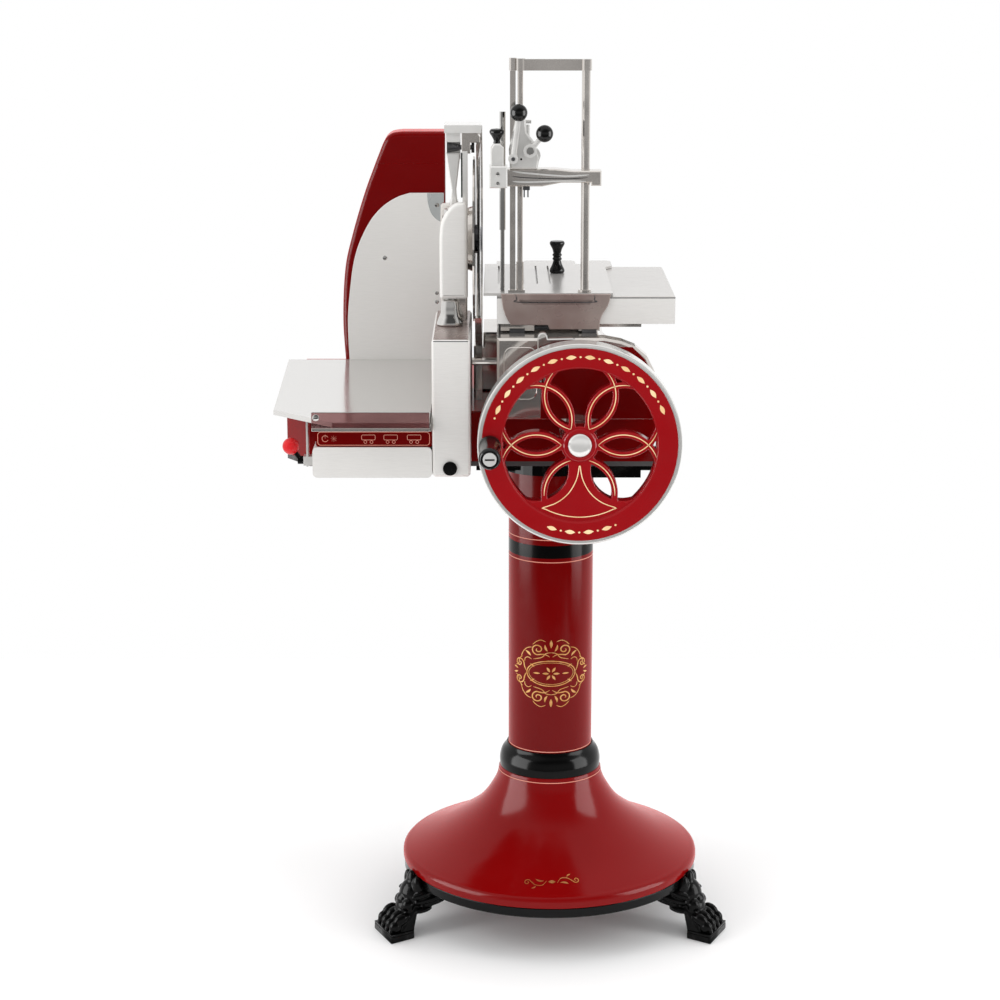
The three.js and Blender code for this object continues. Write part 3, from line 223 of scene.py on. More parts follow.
SHADED_STEEL = metal("shaded_steel", (0.47, 0.49, 0.49), (0.5, 0.52, 0.52), 0.25, 0.3, scale=20, metallic=0.4)
SOFT_CHROME = metal(
    "soft_chrome", (0.7, 0.69, 0.67), (0.76, 0.75, 0.73), 0.1, 0.16, scale=40, metallic=0.45, waves=0.05
)
CHROME = metal("chrome", (0.62, 0.61, 0.59), (0.7, 0.69, 0.67), 0.05, 0.1, scale=40, waves=0.03)
DARK_STEEL = metal("dark_steel", (0.1, 0.1, 0.105), (0.2, 0.2, 0.21), 0.25, 0.45)
BLADE_STEEL = metal("blade_steel", (0.55, 0.55, 0.55), (0.68, 0.68, 0.68), 0.1, 0.24, (1, 9, 9), 50)
BLACK_PLASTIC = plastic("black_plastic", (0.002, 0.002, 0.002), (0.006, 0.006, 0.006), 0.08, 0.02)
RED_PLASTIC = plastic("red_plastic", (0.55, 0.008, 0.012), (0.66, 0.016, 0.02), 0.2)
CLEAR = clear_plastic("clear_plastic")
TINTED = clear_plastic("tinted_plastic", (0.33, 0.18, 0.18), (0.38, 0.21, 0.21))
GOLD = metal("gold_paint", (0.72, 0.36, 0.1), (0.9, 0.55, 0.22), 0.3, 0.45, scale=120)
LINE_PAINT = plastic("line_paint", (0.72, 0.27, 0.19), (0.8, 0.33, 0.25), 0.3, 0.02)
PALE_GOLD = plastic("pale_gold_paint", (0.78, 0.5, 0.24), (0.92, 0.68, 0.4), 0.3, 0.02)

NODE_MATERIALS = {
    RED: ["pedestal_bell", "pedestal_column", "machine_base", "red_shell", "shell_lid", "control_strip"],
    LIT_WHEEL_RED: ["flywheel"],
    IRON: ["paw_foot_front_left", "paw_foot_front_right", "paw_foot_rear"],
    BLACK: ["base_ring", "bell_collar", "support_plate"],
    PLATE: ["back_plate"],
    SATIN: ["front_pillar", "lower_front_box"],
    SOFT_CHROME: ["clamp_bracket", "clamp_block"],
    BRIGHT_STEEL: ["sharpener_bracket", "lever_bracket"],
    SATIN_FLAT: ["tray_rail", "carriage_cover"],
    TABLE: ["meat_table"],
    PRESSED_RED_REFLECTION: ["slot_panel"],
    TRAY: ["receiving_tray"],
    POLISHED: [
        "gear_housing", "clamp_arm", "top_crossbar", "blade_guard_ring", "blade_support", "blade_cover",
        "sharpener_head", "slice_deflector", "guide_posts_left", "guide_post_right", "carriage_frame",
    ],
    CHROME: [
        "flywheel_hub_cap", "crank_pin", "ratchet_bracket", "deflector_post", "feed_rod",
    ],
    DARK_STEEL: [
        "wheel_shaft", "drive_bevel_gear", "cross_bevel_pinion", "cross_shaft", "drive_chain", "blade_arbor",
        "sharpening_stone_knob", "carriage_rails", "clamp_prongs",
    ],
    BLADE_STEEL: ["blade"],
    BLACK_PLASTIC: [
        "pillar_cap", "crank_grip", "spool_knob", "clamp_mushroom_knob", "clamp_ball_lever_tall",
        "clamp_ball_lever_short",
    ],
    RED_PLASTIC: ["red_ball_lever"],
    CLEAR: ["tray_guard"],
}


def shade(data, material, smooth=True):
    """Gives a mesh one material, and smooth or flat faces."""
    data.materials.clear()
    data.materials.append(material)
    for face in data.polygons:
        face.use_smooth = smooth


def even_faces(obj):
    """Weighs a piece's normals by the size of its faces."""
    obj.modifiers.new("even faces", "WEIGHTED_NORMAL").keep_sharp = True


def crisp(obj, width=0.0006, angle=38):
    """Slightly worn edges, their width in metres, where faces meet at more than the angle."""
    edges = obj.modifiers.new("worn edges", "BEVEL")
    edges.width = width
    edges.segments = 2
    edges.limit_method = "ANGLE"
    edges.angle_limit = math.radians(angle)
    even_faces(obj)


# The CAD nodes' own finish
for material, names in NODE_MATERIALS.items():
    for name in names:
        shade(nodes[name].data, material)
        crisp(nodes[name])


# Finer surfaces than the CAD's facets


def new_object(name, data):
    """An object of the scene that holds a mesh, a curve, a lamp or a camera."""
    obj = bpy.data.objects.new(name, data)
    bpy.context.scene.collection.objects.link(obj)
    return obj


def mesh_object(name, verts, faces, material, body, smooth=True):
    data = bpy.data.meshes.new(name)
    data.from_pydata([tuple(v) for v in verts], [], faces)
    data.update()
    shade(data, material, smooth)
    obj = new_object(name, data)
    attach(obj, body)
    return obj


def clean_mesh(data, dissolve=False):
    """Joins doubled points, drops empty faces where asked, and turns the faces outwards."""
    work = bmesh.new()
    work.from_mesh(data)
    bmesh.ops.remove_doubles(work, verts=work.verts, dist=1e-6)
    if dissolve:
        bmesh.ops.dissolve_degenerate(work, dist=1e-7, edges=work.edges)
    bmesh.ops.recalc_face_normals(work, faces=work.faces)
    work.to_mesh(data)
    work.free()


def on_axis(axis, centre, radius, along, turn):
    """A point at a radius round an axis through centre, in working millimetres."""
    a = radius * math.cos(turn)
    b = radius * math.sin(turn)
    if axis == "Z":
        return at(centre[0] + a, centre[1] + b, along)
    if axis == "Y":
        return at(centre[0] + a, along, centre[1] + b)
    return at(along, centre[0] + a, centre[1] + b)


def lathe(name, profile, material, body, axis="Z", centre=(0, 0), steps=128, angle=30):
    """A closed profile of radius and height turned about an axis."""
    verts = [on_axis(axis, centre, r, h, 2 * math.pi * k / steps) for k in range(steps) for r, h in profile]
    count = len(profile)
    faces = []
    for k in range(steps):
        for i in range(count):
            j = (i + 1) % count
            m = (k + 1) % steps
            faces.append((k * count + i, m * count + i, m * count + j, k * count + j))
    obj = mesh_object(name, verts, faces, material, body)
    clean_mesh(obj.data, dissolve=True)
    crisp(obj, 0.0005, angle)
    return obj


def smooth_curve(points, per_span=10):
    """A Catmull-Rom curve through 2-D points."""
    padded = [points[0], *points, points[-1]]
    result = []
    for i in range(1, len(padded) - 2):
        p0, p1, p2, p3 = (Vector(p) for p in padded[i - 1 : i + 3])
        for step in range(per_span):
            t = step / per_span
            result.append(
                0.5 * (
                    2 * p1
                    + (p2 - p0) * t
                    + (2 * p0 - 5 * p1 + 4 * p2 - p3) * t**2
                    + (3 * p1 - p0 - 3 * p2 + p3) * t**3
                )
            )
    result.append(Vector(points[-1]))
    return [tuple(p) for p in result]


def slab(name, outlines, front, back, material, body, place, bevel=0.6):
    """A plate with softened edges: the first outline is its edge and the others are holes."""
    curve = bpy.data.curves.new(name, "CURVE")
    curve.dimensions = "2D"
    curve.fill_mode = "BOTH"
    curve.extrude = (back - front) / 2 - bevel
    curve.bevel_depth = bevel
    curve.bevel_resolution = 1 if bevel < 3 else 5
    curve.offset = -bevel
    for outline in outlines:
        spline = curve.splines.new("POLY")
        spline.points.add(len(outline) - 1)
        for spot, (x, y) in zip(spline.points, outline):
            spot.co = (x, y, 0, 1)
        spline.use_cyclic_u = True
    source = new_object(name + "_outline", curve)
    depsgraph = bpy.context.evaluated_depsgraph_get()
    data = bpy.data.meshes.new_from_object(source.evaluated_get(depsgraph))
    bpy.data.objects.remove(source)
    bpy.data.curves.remove(curve)
    data.name = name
    middle = (front + back) / 2
    for vertex in data.vertices:
        vertex.co = place(vertex.co.x, vertex.co.y, middle + vertex.co.z)
    clean_mesh(data)
    shade(data, material)
    obj = new_object(name, data)
    even_faces(obj)
    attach(obj, body)
    return obj


def facing_front(x, z, y):
    """Places an X-Z outline, with its depth along Y, in the row frame."""
    return at(x, y, z)


bell_outside = smooth_curve([(250, 124), (190, 154), (130, 196), (98, 240), (88, 271.7)])
bell_inside = smooth_curve([(79, 271.7), (89, 236), (124, 188), (186, 144), (244, 114)], 5)
bell_rim = [
    (249, 103.3), (258, 103.3), (259.6, 105), (260, 108), (260, 114), (259, 118), (256, 121.5), (253, 123),
]
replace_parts(lathe("bell_surface", bell_rim + bell_outside + bell_inside, LIT_BELL_RED, MACHINE), "pedestal_bell")

column_profile = [(67, 280), (COLUMN_RADIUS, 280), (COLUMN_RADIUS, 810.6), (67, 810.6)]
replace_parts(lathe("column_surface", column_profile, RED, MACHINE), "pedestal_column")

collar_curve = smooth_curve([(88, 276), (88, 287), (84.5, 300), (78, 309), (75.4, 313.8)], 5)
collar_profile = [(64, 272.1), (87.6, 272.1), *collar_curve, (73.5, 313.8), (73.5, 279.6), (64, 279.6)]
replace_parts(lathe("collar_surface", collar_profile, BLACK, MACHINE), "bell_collar")

ring_profile = [(180, 86), (256.5, 86), (258, 87.5), (258, 102), (257, 103), (180, 103)]
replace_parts(lathe("ring_surface", ring_profile, BLACK, MACHINE), "base_ring")

blade_profile = [
    (12.3, -124), (138, -124), (159.4, -120.7), (159.4, -120.3), (150, -120.9), (60, -120.8), (12.3, -120),
]
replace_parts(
    lathe("blade_surface", blade_profile, BLADE_STEEL, "blade_assembly", "X", BLADE_CENTRE, 160), "blade"
)


def ball(name, centre, radius, material, body):
    half_circle = [
        (radius * math.sin(math.pi * k / 24), centre[2] - radius * math.cos(math.pi * k / 24))
        for k in range(25)
    ]
    return lathe(name, half_circle, material, body, "Z", centre[:2], 48)


def rod(name, start, end, start_radius, end_radius, material, body, steps=32):
    """A tapered round rod between two points of the working frame."""
    first = Vector(start)
    last = Vector(end)
    along = (last - first).normalized()
    side = along.orthogonal().normalized()
    other = along.cross(side)
    verts = []
    for centre, radius in ((first, start_radius), (last, end_radius)):
        for k in range(steps):
            turn = 2 * math.pi * k / steps
            verts.append(at(*(centre + (side * math.cos(turn) + other * math.sin(turn)) * radius)))
    faces = [(k, (k + 1) % steps, steps + (k + 1) % steps, steps + k) for k in range(steps)]
    faces += [tuple(reversed(range(steps))), tuple(range(steps, 2 * steps))]
    obj = mesh_object(name, verts, faces, material, body)
    crisp(obj, 0.0005)
    return obj


def block(name, low, high, material, body, bevel=0.0005):
    """A box between two corners of the working frame."""
    verts = [at(x, y, z) for x in (low[0], high[0]) for y in (low[1], high[1]) for z in (low[2], high[2])]
    faces = [(0, 1, 3, 2), (4, 6, 7, 5), (0, 4, 5, 1), (2, 3, 7, 6), (0, 2, 6, 4), (1, 5, 7, 3)]
    obj = mesh_object(name, verts, faces, material, body)
    crisp(obj, bevel)
    return obj


def screw(name, x, z, y, radius, body=MACHINE, turn=0.5, dome=1.0):
    """A domed screw head on a face that looks to the front, with its slot."""
    high = radius * dome
    head = [
        (0, y - high * 0.45), (radius * 0.6, y - high * 0.38), (radius * 0.95, y - high * 0.14),
        (radius, y), (0, y),
    ]
    lathe(name, head, CHROME, body, "Y", (x, z), 32)
    reach = Vector((math.cos(turn), math.sin(turn))) * radius * 0.8
    front = y - high * 0.46 + radius * 0.06
    slot_ends = ((x - reach.x, front, z - reach.y), (x + reach.x, front, z + reach.y))
    rod(name + "_slot", *slot_ends, radius * 0.12, radius * 0.12, DARK_STEEL, body, 8)


HOOD_RADIUS = 9
HOOD_WALL = 4


def hood(name, edge, end_normals, corners, material, body):
    """A hollow cover with a rounded edge, open on its right side and below."""
    front, back = SHELL_DEPTH
    path = [Vector(p) for p in edge]
    normals = []
    for i in range(len(path)):
        along = (path[min(i + 1, len(path) - 1)] - path[max(i - 1, 0)]).normalized()
        normals.append(Vector((along.y, -along.x)))
    normals[0] = Vector(end_normals[0])
    normals[-1] = Vector(end_normals[1])
    turns = [math.radians(15 * k) for k in range(7)]
    steps = [(HOOD_RADIUS * (1 - math.sin(t)), HOOD_RADIUS * (1 - math.cos(t))) for t in turns]
    rings = [(inset, front + step) for inset, step in steps]
    rings += [(inset, back - step) for inset, step in reversed(steps)]
    verts = [at(p.x + n.x * inset, y, p.y + n.y * inset) for inset, y in rings for p, n in zip(path, normals)]
    count = len(path)
    faces = []
    for k in range(len(rings) - 1):
        for i in range(count - 1):
            first = k * count + i
            faces.append((first, first + count, first + count + 1, first + 1))
    corner_rows = []
    for y in SHELL_DEPTH:
        corner_rows.append(range(len(verts), len(verts) + len(corners)))
        verts += [at(x, y, z) for x, z in corners]
    faces.append((*range(count), *corner_rows[0]))
    last_ring = range((len(rings) - 1) * count, len(rings) * count)
    faces.append((*reversed(corner_rows[1]), *reversed(last_ring)))
    obj = mesh_object(name, verts, faces, material, body)
    work = bmesh.new()
    work.from_mesh(obj.data)
    bmesh.ops.recalc_face_normals(work, faces=work.faces)
    work.faces.ensure_lookup_table()
    if work.faces[len(faces) - 2].normal.y > 0:
        bmesh.ops.reverse_faces(work, faces=work.faces)
    work.to_mesh(obj.data)
    work.free()
    skin = obj.modifiers.new("wall", "SOLIDIFY")
    skin.thickness = HOOD_WALL * MM
    skin.offset = -1
    crisp(obj, 0.0004)
    return obj


plate_curve = smooth_curve(
    [
        (-249, 1246.5), (-272, 1239), (-296, 1224), (-318, 1200.5), (-337.5, 1165), (-350, 1128),
        (-357.5, 1081.5), (-363.3, 1016.5), (-361, 937),
    ],
    8,
)
plate_edge = [(-189, 937), (-189, 1246.5), *plate_curve]
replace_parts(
    slab(
        "back_plate_surface", [plate_edge], PLATE_FRONT, PLATE_FRONT + 4, PLATE, MACHINE, facing_front, 0.8
    ),
    "back_plate",
)
for number, (x, z, size) in enumerate(
    ((-295, 1129.8, 4.2), (-200.8, 1225, 4.2), (-202, 1066, 3.4), (-202, 1050, 3.4))
):
    screw(f"plate_screw_{number}", x, z, PLATE_FRONT, size, turn=0.4 + 0.9 * number, dome=0.34)

shell_curve = smooth_curve(
    [(-368, 932.3), (-372.5, 1016.5), (-367.5, 1108), (-353.5, 1170.5), (-331, 1244.5), (-311, 1298)], 8
)
shell_corners = [(-187, 1298), (-187, 932.3)]
shell_ends = ((1, 0), (1, 0))
shell = hood("shell_surface", shell_curve, shell_ends, shell_corners, RED, MACHINE)
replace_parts(shell, "red_shell")
lid_curve = [
    (-311, 1298.3),
    *smooth_curve([(-297, 1333), (-290, 1345), (-279, 1352.5), (-262, 1355)], 6),
    (-187, 1355),
]
lid_ends = ((1, 0), (0, -1))
lid = hood("lid_surface", lid_curve, lid_ends, [(-187, 1298.3)], RED, "lid")
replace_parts(lid, "shell_lid")

deflector_edge = [
    (-187.5, 1117), (-184, 1113.4), (-145, 1113.4), (-141.2, 1117), (-141.2, 1266), (-145, 1272.6),
    *smooth_curve(
        [(-150, 1272.6), (-160, 1271), (-170, 1265), (-179, 1253), (-185.5, 1236), (-187.6, 1214)], 6
    ),
]
deflector = slab("deflector_surface", [deflector_edge], -98.8, -73.2, SATIN, "deflector", facing_front, 7)
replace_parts(deflector, "slice_deflector")

post_profile = [
    (0, 1069.5), (20.6, 1069.5), (21.6, 1070.6),
    *smooth_curve([(21.6, 1074), (19, 1081), (15.6, 1090), (14.6, 1102), (13.4, 1110)], 5),
    (11, 1112), (8.8, 1112.4), (8.8, 1261.4), (0, 1261.8),
]
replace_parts(lathe("post_surface", post_profile, CHROME, MACHINE, "Z", (-171, -86), 64), "deflector_post")

BALL_RADIUS = 13.8
LEVER_Y = -176
HUB_FRONT = -181.8
HUB_BACK = -161.5
tall_body = "tall_lever"
tall_parts = [
    ball("tall_lever_ball", (-58, LEVER_Y, 1425), BALL_RADIUS, BLACK_PLASTIC, tall_body),
    rod("tall_lever_arm", (-67, LEVER_Y, 1352), (-59.4, LEVER_Y, 1413.5), 5.4, 4.4, SOFT_CHROME, tall_body),
    rod("tall_lever_hub", (-67, HUB_FRONT, 1352), (-67, HUB_BACK, 1352), 7.8, 7.8, SOFT_CHROME, tall_body),
    rod("tall_lever_cap", (-67, -183, 1352), (-67, HUB_FRONT, 1352), 3, 3.4, DARK_STEEL, tall_body),
]
for piece in tall_parts:
    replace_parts(piece, "clamp_ball_lever_tall")
short_body = "short_lever"
short_parts = [
    ball("short_lever_ball", (-17, LEVER_Y, 1392), BALL_RADIUS, BLACK_PLASTIC, short_body),
    rod("short_lever_arm", (-40, LEVER_Y, 1365), (-25, LEVER_Y, 1382.5), 5, 4, SOFT_CHROME, short_body),
    rod(
        "short_lever_hub", (-40, HUB_FRONT, 1365), (-40, HUB_BACK, 1365), 10.6, 10.6, SOFT_CHROME, short_body
    ),
    rod("short_lever_cap", (-40, -183.4, 1365), (-40, HUB_FRONT, 1365), 6, 6.4, CHROME, short_body),
]
for piece in short_parts:
    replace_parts(piece, "clamp_ball_lever_short")

red_lever_parts = [
    ball("red_lever_ball", (-430, -190, 886), BALL_RADIUS, RED_PLASTIC, "ball_lever"),
    rod("red_lever_arm", (-414, -190, 863), (-425, -190, 878.5), 4.4, 3.6, BLACK, "ball_lever"),
    rod("red_lever_hub", (-419, -190, 863), (-409.3, -190, 863), 6.8, 6.8, BLACK, "ball_lever"),
]
for piece in red_lever_parts:
    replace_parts(piece, "red_ball_lever")

spool_profile = [
    (0, 1132.4), (11.4, 1132.4),
    *smooth_curve([(12.6, 1134), (12.8, 1138), (9, 1146), (6.4, 1154)], 4),
    (8, 1155.5), (8.2, 1157.5), (6.6, 1159), (6.6, 1161), (8.2, 1162.5), (8, 1164.5),
    *smooth_curve([(6.4, 1166), (8.6, 1174), (12.4, 1181), (12.8, 1184.5), (11, 1187.2)], 4),
    (0, 1187.8),
]
spool = lathe("spool_surface", spool_profile, BLACK_PLASTIC, "spool", "Z", (10, 78), 48)
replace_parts(spool, "spool_knob")
mushroom_profile = [
    (0, 1376.4), (6, 1376.4),
    *smooth_curve([(5.4, 1378), (5.2, 1381), (8, 1386.5), (11.4, 1392), (11.8, 1395.5), (9.5, 1398.6)], 4),
    (0, 1399.8),
]
mushroom = lathe("mushroom_surface", mushroom_profile, BLACK_PLASTIC, "mushroom", "Z", (-93, -167), 48)
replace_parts(mushroom, "clamp_mushroom_knob")

grip_curve = smooth_curve(
    [(14.2, -403.6), (17, -399), (17, -392), (13.4, -378), (12.8, -352), (15, -324), (17.9, -312)], 5
)
grip_profile = [(6, -401), (11.6, -401), (11.8, -403.8), *grip_curve, (17.4, -303), (15, -300.7), (6, -300.7)]
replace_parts(lathe("grip_surface", grip_profile, BLACK_PLASTIC, "grip", "Y", GRIP_CENTRE, 64), "crank_grip")

# A thin red sheet on the gear housing's front, seen through the wheel's openings: partly red paint, partly a
# painted reflection of the wheel's red back
gear_cover_edge = [
    (-22, 934), (-22, 1040), (-12, 1052), (126, 1052), (146, 1032), (158, 1006), (162, 976), (162, 934),
]
slab("gear_cover_paint", [gear_cover_edge], -201, -199.8, RED, MACHINE, facing_front, 0.4)


# Paw feet: soft forms joined into one casting, in a frame with u outwards from the ring, v across and z up

RING_RADIUS = 258
RING_UNDERSIDE = 85.4
FOOT_ANGLES = {"paw_foot_front_left": 205, "paw_foot_front_right": -25, "paw_foot_rear": 90}
PAD = [(18, -31), (64, -38), (64, 38), (18, 31)]
PAD_DISH = [(24, -27), (60, -33), (60, 33), (24, 27)]
# A foot's soft forms: u, z and the half sizes along u, v and z; those in pairs also have v
FOOT_BODY = [
    (6, 70, 25, 26, 30), (-22, 74, 34, 28, 15), (20, 46, 19, 23, 26), (-46, 80, 22, 22, 9),
    (25, 64, 12, 14, 12), (9, 92, 9, 12, 22),
]
FOOT_PAIRS = [
    (5, 19, 87, 9, 10, 22), (23, 17, 57, 11, 9, 12), (-14, 27, 67, 30, 7, 6), (-22, 24, 58, 24, 6, 5),
    (2, 29, 77, 20, 6, 6), (-2, 27, 48, 16, 5, 5),
]
# The foot's inner block, by half its corners
FOOT_WEDGE = ((19, 30, 8), (46, 33, 8), (4, 22, 58), (30, 22, 46))
TOES = (-26, -9, 9, 26)


def lump(work, u, v, z, ru, rv, rz, tilt=0.0):
    """An ellipsoid in the foot's frame, tilted down towards the toes."""
    ball_mesh = bmesh.ops.create_uvsphere(work, u_segments=20, v_segments=14, radius=1)
    turn = Matrix.Rotation(math.radians(tilt), 4, "Y")
    place = Matrix.Translation((u, v, z)) @ turn @ Matrix.Diagonal((ru, rv, rz, 1))
    bmesh.ops.transform(work, matrix=place, verts=ball_mesh["verts"])


def foot_casting():
    """The foot's mesh in millimetres, in the foot's own frame."""
    work = bmesh.new()
    for u, z, ru, rv, rz in FOOT_BODY:
        lump(work, u, 0, z, ru, rv, rz)
    for u, v, z, ru, rv, rz in FOOT_PAIRS:
        for side in (-1, 1):
            lump(work, u, v * side, z, ru, rv, rz, 8)
    for v in TOES:
        lump(work, 40, v, 37, 15, 8, 10, 30)
        lump(work, 51, v, 25, 11, 8.4, 11, 45)
        lump(work, 58.5, v, 16, 6, 4.6, 7, 30)
    wedge = [(u, side * v, z) for u, v, z in FOOT_WEDGE for side in (-1, 1)]
    bmesh.ops.convex_hull(work, input=[work.verts.new(spot) for spot in wedge])
    data = bpy.data.meshes.new("foot_casting")
    work.to_mesh(data)
    work.free()
    rough = new_object("foot_casting", data)
    blend = rough.modifiers.new("blend", "REMESH")
    blend.mode = "VOXEL"
    blend.voxel_size = 1.5
    soften = rough.modifiers.new("soften", "SMOOTH")
    soften.factor = 0.5
    soften.iterations = 3
    depsgraph = bpy.context.evaluated_depsgraph_get()
    casting = bpy.data.meshes.new_from_object(rough.evaluated_get(depsgraph))
    bpy.data.objects.remove(rough)
    clear = RING_RADIUS + 2.6
    for vertex in casting.vertices:
        u, v, z = vertex.co
        reach = math.hypot(u + RING_RADIUS, v)
        if z > RING_UNDERSIDE and reach < clear:
            if z < RING_UNDERSIDE + 3.6:
                vertex.co.z = RING_UNDERSIDE
            else:
                vertex.co.x = (u + RING_RADIUS) * clear / reach - RING_RADIUS
                vertex.co.y = v * clear / reach
        vertex.co.x = min(vertex.co.x, 63)
        vertex.co.z = max(vertex.co.z, 10)
    return casting


def foot_place(u, v, z, angle):
    turn = math.radians(angle)
    radius = RING_RADIUS + u
    return at(radius * math.cos(turn) - v * math.sin(turn), radius * math.sin(turn) + v * math.cos(turn), z)


foot_shape = foot_casting()
for foot_name, foot_angle in FOOT_ANGLES.items():
    casting = foot_shape.copy()
    for vertex in casting.vertices:
        vertex.co = foot_place(*vertex.co, foot_angle)
    shade(casting, IRON)
    foot = new_object(foot_name + "_casting", casting)
    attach(foot, MACHINE)
    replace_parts(foot, foot_name)
    for part, outlines, low, high in (("plinth", [PAD], 0.1, 11.6), ("rim", [PAD, PAD_DISH], 11, 16)):
        pad = slab(
            f"{foot_name}_{part}", outlines, low, high, IRON, MACHINE,
            lambda u, v, z: foot_place(u, v, z, foot_angle), 1.2,
        )
        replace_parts(pad, foot_name)


# Tray rail, and the clear guard with its fittings
rail = block("rail_surface", (-391, -240, 921), (-198.3, -130.3, 931), POLISHED, MACHINE, 0.001)
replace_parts(rail, "tray_rail")
guard_sheet = block("guard_sheet", (-388, GUARD_FRONT, 937), (-200.3, -287.2, 962), TINTED, "guard", 0.0008)
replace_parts(guard_sheet, "tray_guard")
guard_parts = [
    block("guard_bar", (-388, GUARD_FRONT, 931.5), (-200.3, -286.8, 936.9), POLISHED, "guard", 0.0008),
    rod("guard_top_edge", (-387.6, -288.6, 962), (-200.6, -288.6, 962), 0.7, 0.7, CHROME, "guard", 12),
]
for x in (-380, -234):
    guard_parts += [
        block(f"guard_arm_{-x}", (x - 4, -287, 931.6), (x + 4, -244, 934), BRIGHT_STEEL, "guard"),
        rod(f"guard_hinge_{-x}", (x - 4, -249, 929), (x + 4, -249, 929), 3.4, 3.4, CHROME, "guard", 16),
    ]
for piece in guard_parts:
    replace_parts(piece, "tray_guard")
screw("guard_rivet", -381, 954, GUARD_FRONT, 5.6, "guard")

# Dark foot strip of the machine base, and a patch of painted shade on the plate's corner
plinth_edge = [(-404.2, -130.2), (168.2, -130.2), (168.2, 356.9), (-446.2, 356.9), (-446.2, -69)]
plinth_hollow = [(-403, -128), (166, -128), (166, 354.5), (-444, 354.5), (-444, -68)]
slab("base_plinth", [plinth_edge, plinth_hollow], 838.9, 847, PLINTH_GREY, MACHINE, at, 0.1)
patch_edge = [(-189.4, 1194.6), (-189.4, 1246)] + smooth_curve(
    [(-218.5, 1246), (-216.9, 1228.7), (-211.6, 1210.8), (-202.7, 1200), (-193.8, 1194.6)], 5
)
patch_depth = (PLATE_FRONT - 0.1, PLATE_FRONT + 0.2)
# A darker steel sheet laid flush on the plate's top corner: painted shade, not a recess
slab("plate_recess", [patch_edge], *patch_depth, SHADED_STEEL, MACHINE, facing_front, 0.05)

# Small plates, edges and screws of the cover, the bracket, the pillar, the clamp and the grip, with painted
# light and shade: a brighter front on the cover, dark lines by the cover's and the pillar's top edges, a dark
# gap by the bracket leg and a dark dot on the clamp bracket
# The cover's front face gets a brighter steel than its top: painted light on that face
block("cover_front", (-92.6, -150.2, 1081.4), (197.6, -149.9, 1123.4), SATIN, "carriage")
block("cover_edge_shade", (-92.8, -150.2, 1123.4), (197.8, -149.9, 1125), DARK_STEEL, "carriage")
block("bracket_leg", (-150.4, -41, 1259), (-141.5, -36, 1351), BRIGHT_STEEL, MACHINE, 0.001)
# A black strip beside the bracket leg: painted shadow in the gap
block("bracket_seam", (-152.6, -41.6, 1275), (-150.4, -40, 1349), BLACK, MACHINE)
# The pillar's polished top, with its reflection painted as a darker steel sheet
block("pillar_top_plate", (-195, -227, 1068.8), (-139, 64, 1069.1), PRESSED_RED_REFLECTION, MACHINE)
block("pillar_edge_shade", (-195, -230.2, 1065.6), (-139, -229.9, 1067), DARK_STEEL, MACHINE)
screw("clamp_screw_upper", -92, 1328.5, CLAMP_FRONT, 3.6, "clamp", 0.1)
screw("clamp_screw_lower", -92, 1313.5, CLAMP_FRONT, 3.6, "clamp", 0.1)
# A black dot on the clamp bracket: painted shade
rod("bracket_oil_hole", (-54, -161.4, 1350), (-54, -160.8, 1350), 1.7, 1.7, BLACK, "clamp")
end_axis = ((-104, -401.7, 911), (-104, -405.4, 911))
end_head = rod("end_screw_head", *end_axis, 11.1, 10.4, BRIGHT_STEEL, "grip", 40)
end_slot = block("end_screw_slot", (-111.6, -405.9, 909.7), (-96.4, -405.2, 912.3), BLACK, "grip")
for piece in (end_head, end_slot):
    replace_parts(piece, "grip_end_screw")


# Painted lines and ornament


def ribbon(path, width, place, lift, closed=False, leaf=False):
    """A flat painted line along 2-D points; place turns a 2-D point and a lift into a row point."""
    verts = []
    count = len(path)
    for i, (x, y) in enumerate(path):
        before = Vector(path[(i - 1) % count] if closed or i > 0 else path[0])
        after = Vector(path[(i + 1) % count] if closed or i < count - 1 else path[-1])
        along = (after - before).normalized()
        half = width / 2
        if leaf:
            half *= math.sin(math.pi * i / (count - 1))
        elif not closed:
            half *= min(1.0, 0.35 + 4.4 * min(i, count - 1 - i) / (count - 1))
        verts.append(place(x - along.y * half, y + along.x * half, lift))
        verts.append(place(x + along.y * half, y - along.x * half, lift))
    spans = count if closed else count - 1
    faces = [(2 * i, 2 * ((i + 1) % count), 2 * ((i + 1) % count) + 1, 2 * i + 1) for i in range(spans)]
    return verts, faces


def painted(name, lines, material, body, place, lift=0.12, leaves=()):
    """Lines of (path, width, closed) and leaves of (path, width) as one painted piece."""
    verts = []
    faces = []
    pieces = [ribbon(path, width, place, lift, closed) for path, width, closed in lines]
    pieces += [ribbon(path, width, place, lift, leaf=True) for path, width in leaves]
    for more_verts, more_faces in pieces:
        start = len(verts)
        verts += more_verts
        faces += [tuple(start + i for i in face) for face in more_faces]
    return mesh_object(name, verts, faces, material, body)


def band(name, radius, low, high, material, body=MACHINE, thickness=0.15):
    """A painted ring round the column axis."""
    profile = [(radius, low), (radius + thickness, low), (radius + thickness, high), (radius, high)]
    return lathe(name, profile, material, body)


LINE_RADIUS = COLUMN_RADIUS - 0.05
band("column_black_band", LINE_RADIUS, 663.6, 686.2, BLACK)
for number, height in enumerate((656.8, 696, 316)):
    band(f"column_gold_line_{number}", LINE_RADIUS, height - 0.7, height + 0.7, LINE_PAINT, thickness=0.25)
band("bell_top_line", 90.3, 264.6, 266, LINE_PAINT, thickness=0.3)


def arc(cx, cy, radius, start, end, steps=24):
    turns = [math.radians(start + (end - start) * k / steps) for k in range(steps + 1)]
    return [(cx + radius * math.cos(turn), cy + radius * math.sin(turn)) for turn in turns]


